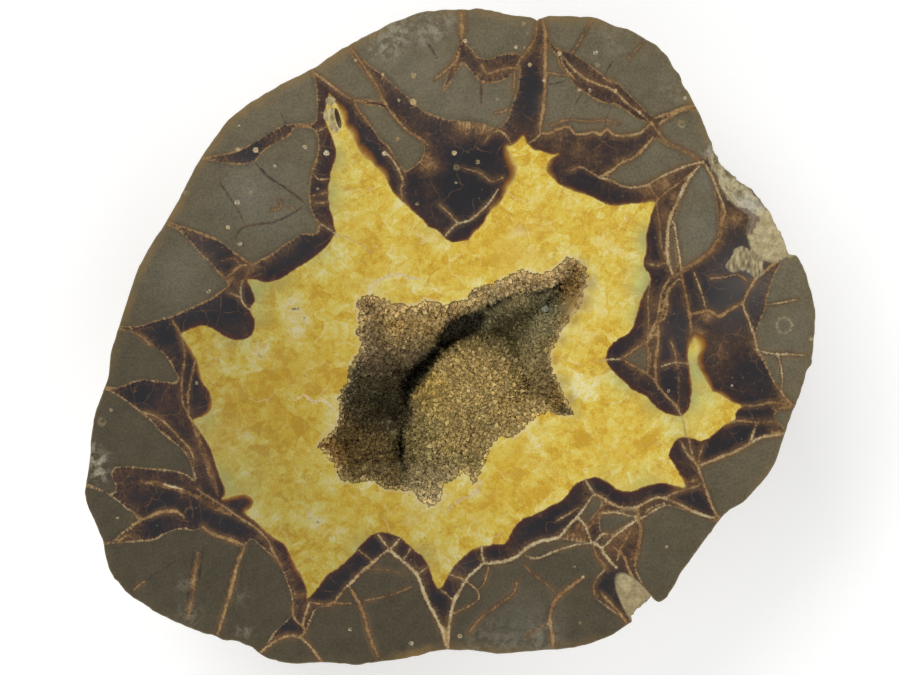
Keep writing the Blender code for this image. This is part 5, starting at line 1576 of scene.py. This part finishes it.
# Crystals stand on it, each the free end of a rhomb of calcite, with three faces up.
shuffle = np.random.default_rng(31)
corners = corners_of(crust_mesh)
triangles = np.array([face.vertices[:] for face in crust_mesh.polygons])
a, b, c = (corners[triangles[:, i]] for i in range(3))
crossed = np.cross(b - a, c - a)
areas = np.linalg.norm(crossed, axis=1) / 2
middles = (a + b + c)[:, :2] / 3 + to_picture
bare = np.maximum(near(middles, *BARE_WALL), 0.8 * near(middles, *THIN_WALL))
weights = areas * (1 - bare) * (areas < STEEP_AREA)
weights[np.isin(triangles, np.flatnonzero(from_lip <= 0)).any(axis=1)] = 0
count = int(weights.sum() * CRYSTALS_PER_MM2)
picks = shuffle.choice(len(triangles), count, p=weights / weights.sum())
share = shuffle.dirichlet((1, 1, 1), count)
feet = a[picks] * share[:, :1] + b[picks] * share[:, 1:2] + c[picks] * share[:, 2:]
ups = crossed[picks] / np.linalg.norm(crossed[picks], axis=1)[:, None]
ups = ups * 0.75 + np.array([0, 0, 0.25]) + shuffle.normal(0, 0.3, (count, 3))
ups /= np.linalg.norm(ups, axis=1)[:, None]
feet_flat = feet[:, :2] + to_picture
sizes = CRYSTAL_SIZE * np.exp(shuffle.normal(0, 0.36, count))
sizes *= 1 + spread_over(feet_flat, LEDGE_LINE, 2.6)
for x, y, reach, larger in LARGER_CRYSTALS:
    sizes *= 1 + larger * near(feet_flat, x, y, reach)
sizes = np.minimum(sizes, LARGEST_CRYSTAL)
pebble = np.argmin(np.hypot(feet_flat[:, 0] - LOOSE_GRAIN[0], feet_flat[:, 1] - LOOSE_GRAIN[1]))
sizes[pebble] = LOOSE_GRAIN[2]
feet[pebble, 2] += 1.1
longs = sizes * shuffle.uniform(1.1, 2.3, count)
longs[pebble] = LOOSE_GRAIN[2]
sides = np.cross(ups, shuffle.normal(0, 1, (count, 3)))
sides /= np.linalg.norm(sides, axis=1)[:, None]
fronts = np.cross(ups, sides)
rhomb = [(0, 0, 1)]
rhomb += [(math.cos(t), math.sin(t), 1 / 3) for t in (0, 2 * math.pi / 3, 4 * math.pi / 3)]
rhomb += [(math.cos(t), math.sin(t), -0.8) for t in (math.pi / 3, math.pi, 5 * math.pi / 3)]
rhomb = np.array(rhomb)
rhomb_faces = np.array([(0, 1, 4, 2), (0, 2, 5, 3), (0, 3, 6, 1)])
crystal_corners = (
    feet[:, None] + ups[:, None] * ((rhomb[:, 2] * 0.85 + 0.3)[None, :, None] * longs[:, None, None])
    + sides[:, None] * (rhomb[:, 0][None, :, None] * sizes[:, None, None])
    + fronts[:, None] * (rhomb[:, 1][None, :, None] * sizes[:, None, None])
).reshape(-1, 3)
crystal_corners[:, 2] = np.minimum(crystal_corners[:, 2], FACE_LEVEL - TIP_GAP)
outside_lip = ~inside(crystal_corners[:, :2] + to_picture, lip)
under_slab = FACE_LEVEL - FACE_SLAB - TIP_GAP
crystal_corners[outside_lip, 2] = np.minimum(crystal_corners[outside_lip, 2], under_slab)
crystal_faces = (rhomb_faces[None] + len(rhomb) * np.arange(count)[:, None, None]).reshape(-1, 4)

bpy.ops.object.modifier_add(type="SOLIDIFY")
druse.modifiers[-1].thickness = CRUST_THICKNESS * MM
druse.modifiers[-1].offset = -1
bpy.ops.object.modifier_apply(modifier=druse.modifiers[-1].name)
base_corners = corners_of(crust_mesh)
crystals = new_piece("druse_crystals", crystal_corners, crystal_faces.tolist())
crystal_mesh = crystals.data


def crust_colours(places):
    """Blend the colours of the crust's parts, with painted shade down in the cleft and under the
    ledge, and painted light along the lip.
    """
    flat = places[:, :2] + to_picture
    weights = np.zeros(len(places))
    total = np.zeros((len(places), 3))
    for x, y, reach, *colour in CRUST_PARTS:
        weight = near(flat, x, y, reach) + 1e-6
        weights += weight
        total += weight[:, None] * np.array(paint(*colour)[:3])
    # Painted shade: crystals down in the cleft and under the ledge are darkened.
    painted_shade = np.maximum(in_cleft(flat, 1.7), spread_over(flat, UNDERCUT_LINE, 1.6))
    painted_shade = painted_shade * fade(FACE_LEVEL - places[:, 2], 3.0, 7)
    # Painted light: the crust next to the lip is made paler.
    rim_light = 0.65 * (1 - fade(depth_inside(flat, lip)[0], 0.1, 0.9))[:, None]
    own = total / weights[:, None] * (1 - rim_light) + rim_light * np.array(paint(206, 180, 116)[:3])
    return own * (1 - 0.95 * painted_shade)[:, None]


def keep_colours(mesh, name, colours):
    """Store one colour for each corner, for the material to read."""
    layer = mesh.attributes.new(name, "FLOAT_COLOR", "POINT")
    rows = np.column_stack([colours, np.ones(len(colours))])
    layer.data.foreach_set("color", rows.astype(np.float32).ravel())


tones = np.repeat(shuffle.uniform(0, 1, count), len(rhomb))
heights = np.tile(np.clip(rhomb[:, 2] * 0.6 + 0.4, 0, 1), count)
foot_colours = crust_colours(feet)
foot_colours[pebble] = paint(196, 198, 176)[:3]
feet_colours = np.repeat(foot_colours, len(rhomb), axis=0)
keep_colours(crystal_mesh, "crust_colour", feet_colours)
keep_field(crystal_mesh, "tone", tones)
keep_field(crystal_mesh, "height", heights)
keep_colours(crust_mesh, "crust_colour", crust_colours(base_corners))
keep_field(crust_mesh, "tone", np.full(len(base_corners), 0.5))
bare_wall = near(base_corners[:, :2] + to_picture, *BARE_WALL)
keep_field(crust_mesh, "height", 0.2 + 0.5 * bare_wall)
take_up(druse)
crystals.select_set(True)
bpy.ops.object.join()

druse_material, tree, shader = new_material("druse_calcite")
where = millimetres()
own = add_node("Attribute", {}, attribute_name="crust_colour")["Color"]
# Painted light and shade: crystal tips are made lighter and their feet darker; the tone and the mottle are
# the crystals' own.
tone_and_painted_shading = field("height") * 0.9 + 0.52
tone_and_painted_shading = tone_and_painted_shading * (field("tone") * 0.9 + 0.62)
tone_and_painted_shading = tone_and_painted_shading * (mottle(where, 3, detail=4) * 0.7 + 0.65)
crust = calc3("SCALE", own, tone_and_painted_shading)
# Pale sugary grains with painted glints, screened on more strongly toward the crystal tips.
sugar_and_painted_glints = rise(mottle(where, 0.4, detail=2), 0.55, 0.75) * (field("height") * 0.35)
crust = blend(sugar_and_painted_glints, crust, paint(214, 190, 148), kind="SCREEN")
feed(shader, "Base Color", crust)
shader.inputs["Roughness"].default_value = 0.6
shader.inputs["Specular IOR Level"].default_value = 0.3
height = mottle(where, 0.35, detail=3)
bump = add_node("Bump", {"Height": height, "Distance": 0.15 * MM, "Strength": 0.6})
feed(shader, "Normal", bump[0])
druse.data.materials.clear()
druse.data.materials.append(druse_material)
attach(druse, "root")
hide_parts("crystal_crust")
